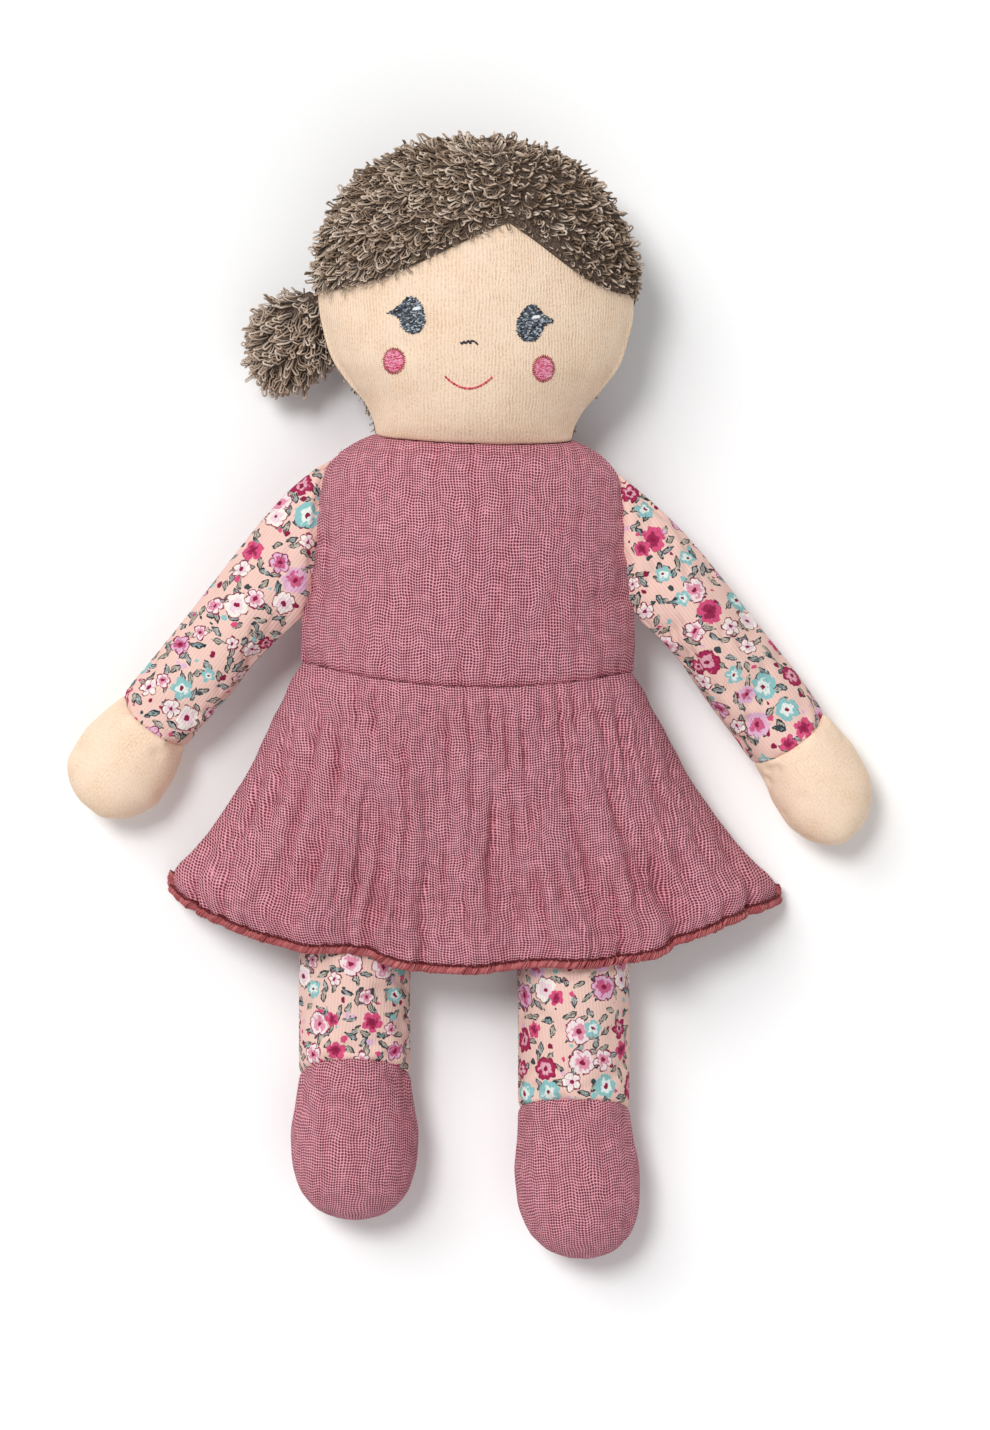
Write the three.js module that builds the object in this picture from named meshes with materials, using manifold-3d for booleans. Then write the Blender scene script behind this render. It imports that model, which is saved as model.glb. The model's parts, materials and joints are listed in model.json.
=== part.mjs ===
// A soft rag doll lying on its back: +Z up out of the face, +Y to the top of the head, +X to the right.
// The origin is the middle of the flat on which the upper body lies. Lengths are in millimetres.
import * as THREE from 'three';
import { mergeVertices } from 'three/addons/utils/BufferGeometryUtils.js';
import Module from 'manifold-3d';

// Cloth and clearances
const coverWall = 1.0; // wall of a sewn cover
const seamGap = 0.3; // clearance between pieces that lie against each other
const floorCut = 0.5; // depth to which a stuffed form is pressed flat where it lies
const seamRadius = 1.2; // roll of turned-in cloth and thread in a sewn seam
const seamHalf = 1.1; // half thickness of a form where it is sewn flat into a seam
const overrun = 6; // how far a cutting tool runs past what it cuts

// Upper and lower body
const bodyWidth = 100;
const bodyThickness = 52;
const neckSeamY = 36.9; // above the origin
const neckSeamWidth = 59;
const hipSeamY = -72;
const hipSeamX = 0.3;
const hipSeamInset = 6; // how far the seam's ends are inside the body's width
const waistY = -31.5; // where the waist seam meets the sides
const waistSag = 6; // how much lower the waist seam is at the middle
const bodyLeanDegrees = 1.7; // the body lies turned a little to the right
const backRise = 1.3; // how far the skirt's back starts above the floor at the waist

// Head
const headWidth = 95;
const headHeight = 89;
const headThickness = 58;
const headX = 1.8;
const peakX = 11.7; // the parting's lowest point
const peakY = 99.9;
const hairlineLeftY = 80.4;
const hairlineRightY = 79.2;
const hairlineBow = 4.5; // how far each hairline bows below a straight line
const partingTopX = 6;
const stitchHeight = 0.8; // embroidery above the face
const eyeHalfWidth = 4.05;
const eyeHalfHeight = 5.7;
const eyeSpacing = 36;
const eyesX = 0.8;
const eyesY = 72.2;
const eyeSlope = 2.1; // how much lower the right eye is than the left
const lashLength = 3.4;
const glintRadius = 1.1;
const cheekRadius = 3.5;
const cheekHalfHeight = 3.85;
const cheekSpacing = 45;
const cheeksX = 0;
const cheeksY = 58.5;
const cheekSlope = 2.4;
const mouthX = -0.2;
const mouthY = 54.6;
const mouthWidth = 14.2;
const mouthSag = 3.6;
const stitchLine = 0.9; // width of a stitched line
const noseX = 0.2;
const noseY = 64.6;
const noseWidth = 5.2;

// Hair bunch
const bunchLength = 27;
const bunchWidth = 23;
const bunchThickness = 21;
const bunchRootWidth = 5.5;
const bunchRootY = 78;
const bunchRootZ = 24;
const bunchDirectionDegrees = 232.7;

// Arms
const armLength = 74.5; // from the shoulder seam to the wrist seam
const sleeveWidth = 25.2;
const sleeveThickness = 24;
const shoulderSeamLength = 44.5;
const shoulderInset = 3.7; // how far the seam's middle is inside the body's width
const shoulderY = 5.5;
const armDirectionDegrees = 228.9;
const handLength = 33;
const handWidth = 30;
const handThickness = 24;

// Legs
const legWidth = 33.5;
const legThickness = 28;
const leftLegLength = 83; // from the hip seam to the shoe seam
const rightLegLength = 92;
const legRootGap = 1.8; // between the two legs where they are sewn in
const leftAnkleX = -34.8;
const rightAnkleX = 32;
const shoeLength = 43.8;
const shoeWidth = 37.8;
const shoeThickness = 30;
const stuffingStart = 12; // the stuffing of a leg begins this far below the hip seam

// Skirt
const skirtCloth = 1.2;
const skirtHemWidth = 184;
const hemCornerY = -99.5;
const hemSag = 21.5; // how much lower the hem is at the middle than at its corners
const hemX = 3.2;
const skirtTopAtHem = 33; // height of the front over the legs
const skirtCornerHeight = 2.2;
const foldDepth = 1.7; // of the main folds at the hem
const backFoldDepth = 0.4;
const foldCount = 7;
const hemWidth = 2.4; // overlocked edging

const wasm = await Module();
wasm.setup();
const { Manifold, Mesh: SolidMesh } = wasm;

const doll = new THREE.Group();
const degree = Math.PI / 180;
const sides = { left: -1, right: 1 };
const shoulderX = bodyWidth / 2 - shoulderInset;
const hipSeamWidth = bodyWidth - 2 * hipSeamInset;
const legRootWidth = (hipSeamWidth - legRootGap) / 2;
const legRootX = (legRootWidth + legRootGap) / 2; // from the middle of the hip seam
const toolSpan = 2 * (headHeight + bodyWidth + rightLegLength + skirtHemWidth); // more than the whole doll
const sheetRoom = skirtCloth + seamGap; // room that the skirt takes around the lower body

const colours = {
  skin: 0xf0d3b4,
  terry: 0x8b7868,
  muslin: 0xb9677f,
  edging: 0xa9505a,
  jersey: 0xe9bfb4,
  slate: 0x4a5566,
  glint: 0xf4f4f2,
  cheek: 0xdf5f90,
  mouth: 0xe0566b,
  thread: 0x4e4a55,
  stuffing: 0xf3f1ea,
};

function lerp(a, b, t) {
  return a + (b - a) * t;
}

function solidOf(geometry) {
  const bare = new THREE.BufferGeometry();
  bare.setAttribute('position', geometry.getAttribute('position'));
  if (geometry.index) bare.setIndex(geometry.index);
  const merged = mergeVertices(bare);
  const vertProperties = new Float32Array(merged.getAttribute('position').array);
  const triVerts = new Uint32Array(merged.index.array);
  return new Manifold(new SolidMesh({ numProp: 3, vertProperties, triVerts }));
}

function addPiece(name, solid, colour, roughness = 0.9) {
  const { vertProperties, triVerts } = solid.getMesh();
  const geometry = new THREE.BufferGeometry();
  geometry.setAttribute('position', new THREE.Float32BufferAttribute(vertProperties, 3));
  geometry.setIndex([...triVerts]);
  geometry.computeVertexNormals();
  const material = new THREE.MeshStandardMaterial({ color: colours[colour], roughness, metalness: 0 });
  const mesh = new THREE.Mesh(geometry, material);
  mesh.name = name;
  doll.add(mesh);
}

// Turns a point or a section about the origin, as the body lies.
function leaned(x, y, leanDegrees = bodyLeanDegrees) {
  const c = Math.cos(leanDegrees * degree);
  const s = Math.sin(leanDegrees * degree);
  return [x * c + y * s, y * c - x * s];
}

// A cross-section of a stuffed form: its centre, the direction of its width as seen from above, its half sizes.
function section(x, y, z, turnDegrees, halfWidth, halfThickness) {
  return { x, y, z, turnDegrees, halfWidth, halfThickness };
}

function leanedSection(s) {
  const [x, y] = leaned(s.x, s.y);
  return { ...s, x, y, turnDegrees: s.turnDegrees - bodyLeanDegrees };
}

function mirroredSection(s) {
  return { ...s, x: -s.x, turnDegrees: 180 - s.turnDegrees };
}

// The same form with its surface moved out by a distance, or in where that is negative. A round end keeps its
// shape. An end that is given a reach keeps its place, and runs straight on by that much.
function grown(sections, by, startReach, endReach) {
  const last = sections.length - 1;
  const widestOf = (half) => Math.max(...half.map((s) => s.halfWidth));
  const startWidest = widestOf(sections.slice(0, Math.ceil(sections.length / 2)));
  const endWidest = widestOf(sections.slice(Math.floor(sections.length / 2)));
  const moved = sections.map((s, i) => {
    const early = i < last / 2;
    const reach = early ? startReach : endReach;
    const widest = early ? startWidest : endWidest;
    const next = sections[early ? i + 1 : i - 1];
    const roundness = reach === undefined ? s.halfWidth / widest : 1;
    const shift = reach === undefined ? by * Math.sqrt(1 - roundness ** 2) : 0;
    const along = new THREE.Vector2(s.x - next.x, s.y - next.y).normalize().multiplyScalar(shift);
    return {
      ...s,
      x: s.x + along.x,
      y: s.y + along.y,
      halfWidth: s.halfWidth + by * Math.max(roundness, 1 / 2),
      halfThickness: Math.max(s.halfThickness + by * Math.max(roundness, 1 / 2), seamGap),
    };
  });
  const runOn = (end, next, reach) => {
    const along = new THREE.Vector2(end.x - next.x, end.y - next.y).setLength(reach);
    return { ...end, x: end.x + along.x, y: end.y + along.y };
  };
  if (startReach) moved.unshift(runOn(moved[0], moved[1], startReach));
  if (endReach) moved.push(runOn(moved.at(-1), moved.at(-2), endReach));
  return moved;
}

// A closed form through the sections. The edge share is 0.5 for an oval section, and nearer 1 for a sharp edge.
function stuffed(sections, sideCount, edgeShare) {
  const positions = [];
  for (const s of sections) {
    const c = Math.cos(s.turnDegrees * degree);
    const n = Math.sin(s.turnDegrees * degree);
    for (let k = 0; k < sideCount; k++) {
      const t = (2 * Math.PI * k) / sideCount;
      const across = s.halfWidth * Math.cos(t);
      const up = s.halfThickness * Math.sign(Math.sin(t)) * Math.abs(Math.sin(t)) ** (2 * edgeShare);
      positions.push(s.x + across * c, s.y + across * n, s.z + up);
    }
  }
  const triangles = [];
  for (let i = 0; i + 1 < sections.length; i++) {
    for (let k = 0; k < sideCount; k++) {
      const a = i * sideCount + k;
      const b = i * sideCount + ((k + 1) % sideCount);
      triangles.push(a, b, b + sideCount, a, b + sideCount, a + sideCount);
    }
  }
  for (const i of [0, sections.length - 1]) {
    const middle = positions.length / 3;
    positions.push(sections[i].x, sections[i].y, sections[i].z);
    for (let k = 0; k < sideCount; k++) {
      const a = i * sideCount + k;
      const b = i * sideCount + ((k + 1) % sideCount);
      triangles.push(...(i === 0 ? [middle, b, a] : [middle, a, b]));
    }
  }
  return outwardSolid(positions, triangles);
}

// A closed mesh as a solid with its faces pointing out.
function outwardSolid(positions, triangles) {
  let volume = 0;
  const at = (i) => new THREE.Vector3(...positions.slice(3 * i, 3 * i + 3));
  for (let i = 0; i < triangles.length; i += 3) {
    volume += at(triangles[i]).dot(at(triangles[i + 1]).cross(at(triangles[i + 2])));
  }
  const geometry = new THREE.BufferGeometry();
  geometry.setAttribute('position', new THREE.Float32BufferAttribute(positions, 3));
  geometry.setIndex(volume > 0 ? triangles : [...triangles].reverse());
  return solidOf(geometry);
}

// Everything below a height, as a tool.
function floorBelow(height) {
  const box = new THREE.BoxGeometry(toolSpan, toolSpan, toolSpan);
  box.translate(0, 0, height - toolSpan / 2);
  return solidOf(box);
}

// A tall prism over an outline in the plane of the doll.
function prism(points, low = -overrun, high = headThickness + overrun) {
  const shape = new THREE.Shape(points.map(([x, y]) => new THREE.Vector2(x, y)));
  const body = new THREE.ExtrudeGeometry(shape, { depth: high - low, bevelEnabled: false });
  body.translate(0, 0, low);
  return solidOf(body);
}

// A big upright block on the far side of a line through a point, where the line's normal points.
function blockBeyond(x, y, normalDegrees) {
  const box = new THREE.BoxGeometry(toolSpan, toolSpan, toolSpan);
  box.translate(toolSpan / 2, 0, 0);
  box.rotateZ(normalDegrees * degree);
  box.translate(x, y, 0);
  return solidOf(box);
}

// A rod between two points, as of a seam's roll.
function rod(x0, y0, z0, x1, y1, z1, radius) {
  const from = new THREE.Vector3(x0, y0, z0);
  const to = new THREE.Vector3(x1, y1, z1);
  const body = new THREE.CylinderGeometry(radius, radius, from.distanceTo(to), 8);
  const heading = to.clone().sub(from).normalize();
  body.applyQuaternion(new THREE.Quaternion().setFromUnitVectors(new THREE.Vector3(0, 1, 0), heading));
  const middle = from.add(to).multiplyScalar(1 / 2);
  body.translate(middle.x, middle.y, middle.z);
  return solidOf(body);
}

// The hollow cover of a form, open at its start.
function coverOf(sections, sideCount, edgeShare) {
  const inside = stuffed(grown(sections, -coverWall, overrun), sideCount, edgeShare);
  return stuffed(sections, sideCount, edgeShare).subtract(inside);
}

// The stuffing of a form, which stops short of the seam at its start.
function fillingOf(sections, sideCount, edgeShare) {
  return stuffed(grown(sections.slice(1), -coverWall - seamGap, 0), sideCount, edgeShare);
}

const floor = floorBelow(0);
const fillingFloor = floorBelow(coverWall + seamGap);
const bodyEdgeShare = 0.68;
const limbEdgeShare = 0.55;
const bodySideCount = 20;
const limbSideCount = 16;
const bodyZ = bodyThickness / 2 - floorCut;

// Body: share of the way from the neck seam to the hip seam, share of half the width, share of half the thickness.
const bodyShares = [
  [0.014, 0.6, 0.045],
  [0.055, 0.79, 0.29],
  [0.105, 0.86, 0.53],
  [0.175, 0.905, 0.78],
  [0.27, 0.945, 0.99],
  [0.41, 0.975, 1],
  [0.56, 1, 0.99],
  [0.66, 1, 0.95],
  [0.78, 0.965, 0.85],
  [0.87, 0.93, 0.66],
  [0.94, 0.905, 0.36],
  [0.986, 0.89, 0.045],
];
const bodySections = bodyShares.map(([along, wide, thick]) =>
  leanedSection(
    section(
      lerp(0, hipSeamX, along),
      lerp(neckSeamY, hipSeamY, along),
      bodyZ,
      0,
      (wide * bodyWidth) / 2,
      (thick * bodyThickness) / 2
    )
  )
);

// The waist seam's line, sagging in the middle, with everything above it.
function aboveWaist(shift) {
  const points = [];
  const stepCount = 10;
  const reach = bodyWidth;
  for (let i = 0; i <= stepCount; i++) {
    const u = lerp(-1, 1, i / stepCount);
    points.push(leaned((u * reach) / 2, waistY + shift - waistSag * (1 - u * u)));
  }
  points.push(leaned(reach, waistY + shift), leaned(reach, neckSeamY + overrun));
  points.push(leaned(-reach, neckSeamY + overrun), leaned(-reach, waistY + shift));
  return prism(points);
}

// Seams on which the pieces hinge
const [neckX, neckY] = leaned(0, neckSeamY);
const [neckHalfX, neckHalfY] = leaned(neckSeamWidth / 2, 0);
const seams = {
  neck_seam: [neckX - neckHalfX, neckY - neckHalfY, neckX + neckHalfX, neckY + neckHalfY],
  hip_seam: [
    ...leaned(hipSeamX - hipSeamWidth / 2, hipSeamY),
    ...leaned(hipSeamX + hipSeamWidth / 2, hipSeamY),
  ],
};
const shoulderSeamDegrees = 80.7; // the seam follows the side of the bodice
function shoulderSeam(side) {
  const reach = shoulderSeamLength / 2;
  const dx = reach * Math.cos(shoulderSeamDegrees * degree);
  const dy = reach * Math.sin(shoulderSeamDegrees * degree);
  const out = shoulderX + seamRadius;
  return [
    ...leaned(side * (out + dx), shoulderY - dy),
    ...leaned(side * (out - dx), shoulderY + dy),
  ];
}
seams.left_shoulder_seam = shoulderSeam(-1);
seams.right_shoulder_seam = shoulderSeam(1);
function seamRoom(name) {
  const [x0, y0, x1, y1] = seams[name];
  return rod(x0, y0, bodyZ, x1, y1, bodyZ, seamRadius + seamGap);
}
const shoulderRoom = seamRoom('left_shoulder_seam').add(seamRoom('right_shoulder_seam'));

// Body pieces
const bodyOuter = stuffed(bodySections, bodySideCount, bodyEdgeShare);
const bodyInner = stuffed(grown(bodySections, -coverWall, overrun, overrun), bodySideCount, bodyEdgeShare);
const bodice = bodyOuter.subtract(bodyInner).subtract(floor).subtract(shoulderRoom).intersect(aboveWaist(0));
addPiece('bodice_front', bodice.subtract(floorBelow(bodyZ + seamGap / 2)), 'muslin');
addPiece('bodice_back', bodice.intersect(floorBelow(bodyZ - seamGap / 2)), 'muslin');

const seatSections = bodySections.map((s) => ({
  ...s,
  halfWidth: s.halfWidth - sheetRoom,
  halfThickness: Math.max(s.halfThickness - sheetRoom, seamHalf),
}));
const seatOuter = stuffed(seatSections, bodySideCount, bodyEdgeShare);
const seatInner = stuffed(grown(seatSections, -coverWall, overrun, overrun), bodySideCount, bodyEdgeShare);
const seatFloor = floorBelow(sheetRoom);
addPiece('seat_cover', seatOuter.subtract(seatInner).subtract(seatFloor).subtract(aboveWaist(-seamGap)), 'muslin');
function torsoStuffing(sections, low) {
  const inside = grown(sections.slice(1, -1), -coverWall - seamGap, 0, 0);
  return stuffed(inside, bodySideCount, bodyEdgeShare).subtract(floorBelow(low));
}
const upperFilling = torsoStuffing(bodySections, coverWall + seamGap).subtract(shoulderRoom);
const lowerFilling = torsoStuffing(seatSections, sheetRoom + coverWall + seamGap);
addPiece('torso_filling', upperFilling.intersect(aboveWaist(0)).add(lowerFilling), 'stuffing');

for (const [name, [x0, y0, x1, y1]] of Object.entries(seams)) {
  addPiece(name, rod(x0, y0, bodyZ, x1, y1, bodyZ, seamRadius), 'muslin');
}

// Head: share of the height above the neck seam, share of half the width, share of half the thickness.
const headShares = [
  [0.017, 0.625, 0.04],
  [0.05, 0.635, 0.27],
  [0.104, 0.69, 0.48],
  [0.172, 0.8, 0.66],
  [0.242, 0.895, 0.8],
  [0.33, 0.955, 0.91],
  [0.42, 0.99, 0.98],
  [0.52, 1, 1],
  [0.62, 0.98, 0.98],
  [0.72, 0.92, 0.92],
  [0.82, 0.81, 0.8],
  [0.905, 0.67, 0.64],
  [0.965, 0.5, 0.42],
  [1, 0.27, 0.2],
];
const headZ = headThickness / 2 - floorCut;
const headSections = headShares.map(([along, wide, thick]) =>
  section(
    lerp(neckX, headX, Math.min(1, along * 4)),
    lerp(neckY, neckY + headHeight, along),
    lerp(bodyZ, headZ, Math.min(1, along * 4)),
    -bodyLeanDegrees * (1 - along),
    (wide * headWidth) / 2,
    (thick * headThickness) / 2
  )
);
const headSideCount = 24;
const headCover = stuffed(headSections, headSideCount, bodyEdgeShare)
  .subtract(stuffed(grown(headSections, -coverWall, overrun), headSideCount, bodyEdgeShare))
  .subtract(floor);
addPiece('head_filling', fillingOf(headSections, headSideCount, bodyEdgeShare).subtract(fillingFloor), 'stuffing');

// A hairline from the side of the head to the parting's lowest point, bowed down in the middle.
function hairline(sideX, sideY, shift) {
  const stepCount = 5;
  const points = [];
  for (let i = 0; i <= stepCount; i++) {
    const t = i / stepCount;
    const y = lerp(sideY, peakY, t ** 1.15) - hairlineBow * Math.sin(Math.PI * t) * (1 - t);
    points.push([lerp(sideX, peakX, t), y + shift]);
  }
  return points;
}
const headReach = headWidth / 2 + overrun;
const leftLine = hairline(headX - headWidth / 2, hairlineLeftY, 0);
const rightLine = hairline(headX + headWidth / 2, hairlineRightY, 0).reverse();
const headFloorY = neckSeamY - overrun;
const headTopY = neckSeamY + headHeight + overrun;
const raise = (points, by) => points.map(([x, y]) => [x, y + by]);
const faceOutline = [
  [headX - headReach, headFloorY],
  [headX - headReach, hairlineLeftY],
  ...leftLine,
  ...rightLine.slice(1),
  [headX + headReach, hairlineRightY],
  [headX + headReach, headFloorY],
];
const leftHairOutline = [
  [headX - headReach, hairlineLeftY + seamGap],
  ...raise(leftLine, seamGap),
  [partingTopX, headTopY],
  [headX - headReach, headTopY],
];
const rightHairOutline = [
  ...raise(rightLine, seamGap).map(([x, y]) => [x + seamGap, y]),
  [headX + headReach, hairlineRightY + seamGap],
  [headX + headReach, headTopY],
  [partingTopX + seamGap, headTopY],
];
const headFront = headCover.subtract(floorBelow(headZ + seamGap / 2));
addPiece('face_panel', headFront.intersect(prism(faceOutline)), 'skin');
addPiece('fringe_left', headFront.intersect(prism(leftHairOutline)), 'terry', 1);
addPiece('fringe_right', headFront.intersect(prism(rightHairOutline)), 'terry', 1);
addPiece('hair_back', headCover.intersect(floorBelow(headZ - seamGap / 2)), 'terry', 1);

// Embroidery: patches of a thin skin over the face
const stitchSkin = stuffed(grown(headSections, seamGap + stitchHeight), headSideCount, bodyEdgeShare)
  .subtract(stuffed(grown(headSections, seamGap), headSideCount, bodyEdgeShare))
  .subtract(floorBelow(headZ));
function oval(x, y, halfWidth, halfHeight) {
  const cornerCount = 12;
  const points = [];
  for (let i = 0; i < cornerCount; i++) {
    const t = (2 * Math.PI * i) / cornerCount;
    points.push([x + halfWidth * Math.cos(t), y + halfHeight * Math.sin(t)]);
  }
  return points;
}
// Lash: share of the eye's half width, share of the lash's length, share of the eye's half height.
const lashShares = [
  [0.6, 0, 0.35],
  [1, 0.75, 0.1],
  [0.6, 0, -0.05],
];
function lash(x, y, out) {
  const outline = lashShares.map(([wide, tip, high]) => [
    x + out * (eyeHalfWidth * wide + lashLength * tip),
    y + eyeHalfHeight * high,
  ]);
  return prism(outline);
}
for (const [side, out] of Object.entries(sides)) {
  const x = eyesX + (out * eyeSpacing) / 2;
  const y = eyesY - (out * eyeSlope) / 2;
  const glintX = x + eyeHalfWidth * 0.45;
  const glintY = y + eyeHalfHeight * 0.33;
  const eye = prism(oval(x, y, eyeHalfWidth, eyeHalfHeight)).add(lash(x, y, out));
  const glintDisc = (radius) => prism(oval(glintX, glintY, radius, radius));
  const room = glintDisc(glintRadius + seamGap);
  addPiece(`${side}_eye`, stitchSkin.intersect(eye.subtract(room)), 'slate', 0.6);
  addPiece(`${side}_eye_glint`, stitchSkin.intersect(glintDisc(glintRadius)), 'glint', 0.6);
}
for (const [side, out] of Object.entries(sides)) {
  const x = cheeksX + (out * cheekSpacing) / 2;
  const y = cheeksY - (out * cheekSlope) / 2;
  addPiece(`${side}_cheek`, stitchSkin.intersect(prism(oval(x, y, cheekRadius, cheekHalfHeight))), 'cheek', 0.6);
}

// A stitched line along an arc that sags by a given depth, or rises where that is negative.
function arcBand(x, y, width, sag) {
  const stepCount = 8;
  const upper = [];
  const lower = [];
  for (let i = 0; i <= stepCount; i++) {
    const u = lerp(-1, 1, i / stepCount);
    const arcX = x + (u * width) / 2;
    const arcY = y - sag * (1 - u * u);
    lower.push([arcX, arcY - stitchLine / 2]);
    upper.unshift([arcX, arcY + stitchLine / 2]);
  }
  return prism([...lower, ...upper]);
}
addPiece('mouth_stitches', stitchSkin.intersect(arcBand(mouthX, mouthY, mouthWidth, mouthSag)), 'mouth', 0.6);
addPiece('nose_stitches', stitchSkin.intersect(arcBand(noseX, noseY, noseWidth, -stitchLine)), 'thread', 0.6);

// Hair bunch: share of its length from the root, share of half its width, share of half its thickness.
const bunchShares = [
  [0.01, 0.25, 0.09],
  [0.12, 0.5, 0.42],
  [0.28, 0.84, 0.8],
  [0.46, 1, 1],
  [0.64, 0.96, 0.97],
  [0.82, 0.76, 0.78],
  [0.94, 0.47, 0.48],
  [1, 0.2, 0.2],
];
const bunchRootX = headX - headWidth / 2 - seamGap;
const bunchZ = bunchThickness / 2 - floorCut;
const bunchSections = bunchShares.map(([along, wide, thick]) =>
  section(
    bunchRootX + along * bunchLength * Math.cos(bunchDirectionDegrees * degree),
    bunchRootY + along * bunchLength * Math.sin(bunchDirectionDegrees * degree),
    lerp(bunchRootZ, bunchZ, Math.min(1, along * 2)),
    bunchDirectionDegrees - 90,
    Math.max((wide * bunchWidth) / 2, bunchRootWidth / 2),
    (thick * bunchThickness) / 2
  )
);
const headRoom = stuffed(grown(headSections, seamGap), headSideCount, bodyEdgeShare);
const bunchSideCount = 14;
const bunchCover = coverOf(bunchSections, bunchSideCount, limbEdgeShare).subtract(floor);
const bunchFilling = fillingOf(bunchSections, bunchSideCount, limbEdgeShare).subtract(fillingFloor);
addPiece('bunch_cover', bunchCover.subtract(headRoom), 'terry', 1);
addPiece('bunch_filling', bunchFilling.subtract(headRoom), 'stuffing');

// Arm: share of the way from the shoulder seam to the wrist seam, share of the turn from square across the arm
// to the slanting seam, share of half the sleeve's thickness.
const armShares = [
  [0.012, 1, 0.1],
  [0.1, 0.8, 0.34],
  [0.2, 0.52, 0.6],
  [0.34, 0.22, 0.84],
  [0.55, 0, 0.98],
  [0.78, 0, 1],
  [1, 0, 0.95],
];
// Hand: share of its length from the wrist seam, sideways share, share of half the width, share of half the
// thickness, degrees by which the hand has turned down.
const handShares = [
  [0.2, -0.02, 0.94, 1, 7],
  [0.42, -0.06, 1, 1, 13],
  [0.65, -0.12, 0.96, 0.9, 18],
  [0.85, -0.18, 0.74, 0.66, 21],
  [0.96, -0.21, 0.47, 0.4, 22],
  [1, -0.22, 0.22, 0.18, 22],
];
const squareTurn = armDirectionDegrees - 90; // the section's turn where it lies square across the arm
const armX = Math.cos(armDirectionDegrees * degree);
const armY = Math.sin(armDirectionDegrees * degree);
const handZ = handThickness / 2 - floorCut;
function armSections() {
  const rootX = -shoulderX - seamRadius;
  const list = armShares.map(([along, slant, thick]) => {
    const width = lerp(sleeveWidth, shoulderSeamLength, slant ** 1.4);
    return section(
      rootX + along * armLength * armX,
      shoulderY + along * armLength * armY,
      lerp(bodyZ, handZ, Math.min(1, along * 1.1)),
      lerp(squareTurn, shoulderSeamDegrees, slant),
      width / 2,
      (thick * sleeveThickness) / 2
    );
  });
  const wrist = list[list.length - 1];
  for (const [along, aside, wide, thick, turnDegrees] of handShares) {
    list.push(
      section(
        wrist.x + along * handLength * armX + aside * handWidth * armY,
        wrist.y + along * handLength * armY - aside * handWidth * armX,
        handZ,
        squareTurn + turnDegrees,
        (wide * handWidth) / 2,
        (thick * handThickness) / 2
      )
    );
  }
  return list;
}
const bodyRoom = stuffed(grown(bodySections, seamGap), bodySideCount, bodyEdgeShare).add(shoulderRoom);
const leftArm = armSections();
for (const side of Object.keys(sides)) {
  const sections = (side === 'left' ? leftArm : leftArm.map(mirroredSection)).map(leanedSection);
  const cover = coverOf(sections, limbSideCount, limbEdgeShare).subtract(floor).subtract(bodyRoom);
  const wrist = sections[armShares.length - 1];
  const before = sections[armShares.length - 2];
  const along = new THREE.Vector2(wrist.x - before.x, wrist.y - before.y).normalize();
  const heading = Math.atan2(along.y, along.x) / degree;
  along.multiplyScalar(seamGap / 2);
  addPiece(`${side}_sleeve`, cover.subtract(blockBeyond(wrist.x - along.x, wrist.y - along.y, heading)), 'jersey');
  addPiece(`${side}_hand`, cover.intersect(blockBeyond(wrist.x + along.x, wrist.y + along.y, heading)), 'skin');
  const filling = fillingOf(sections, limbSideCount, limbEdgeShare).subtract(fillingFloor).subtract(bodyRoom);
  addPiece(`${side}_arm_filling`, filling, 'stuffing');
}

// Leg: share of its length below the hip seam, share of the flare at the seam, share of half the thickness.
const legShares = [
  [0.018, 1, 0.08],
  [0.07, 0.86, 0.38],
  [0.15, 0.6, 0.72],
  [0.28, 0.3, 0.94],
  [0.45, 0.1, 1],
  [0.7, 0, 1],
  [1, 0, 0.98],
];
// Shoe: share of its length from its seam, share of half its width, share of half its thickness.
const shoeShares = [
  [0.22, 0.93, 0.96],
  [0.42, 1, 1],
  [0.62, 0.975, 0.97],
  [0.8, 0.85, 0.84],
  [0.92, 0.63, 0.6],
  [0.98, 0.4, 0.36],
  [1, 0.22, 0.18],
];
const shoeZ = shoeThickness / 2 - floorCut;
function legSections(side, length, ankleX) {
  const [rootX, rootY] = leaned(hipSeamX + side * legRootX, hipSeamY);
  const list = legShares.map(([along, flare, thick]) =>
    section(
      lerp(ankleX, rootX, flare * (1 - along)),
      rootY - along * length,
      lerp(bodyZ, shoeZ, Math.sqrt(along)),
      -bodyLeanDegrees * flare,
      lerp(legWidth, legRootWidth, flare) / 2,
      (thick * legThickness) / 2
    )
  );
  for (const [along, wide, thick] of shoeShares) {
    list.push(
      section(
        ankleX,
        rootY - length - along * shoeLength,
        shoeZ,
        0,
        (wide * shoeWidth) / 2,
        (thick * shoeThickness) / 2
      )
    );
  }
  return list;
}
const legs = { left: [-1, leftLegLength, leftAnkleX], right: [1, rightLegLength, rightAnkleX] };
for (const [side, [sign, length, ankleX]] of Object.entries(legs)) {
  const sections = legSections(sign, length, ankleX);
  const cover = coverOf(sections, limbSideCount, limbEdgeShare).subtract(floor);
  const ankleY = sections[legShares.length - 1].y;
  addPiece(`${side}_leg`, cover.subtract(blockBeyond(ankleX, ankleY + seamGap / 2, -90)), 'jersey');
  addPiece(`${side}_shoe`, cover.intersect(blockBeyond(ankleX, ankleY - seamGap / 2, -90)), 'muslin');
  const top = blockBeyond(ankleX, ankleY + length - stuffingStart, 90);
  const filling = fillingOf(sections, limbSideCount, limbEdgeShare).subtract(fillingFloor).subtract(top);
  addPiece(`${side}_leg_filling`, filling, 'stuffing');
}

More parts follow.
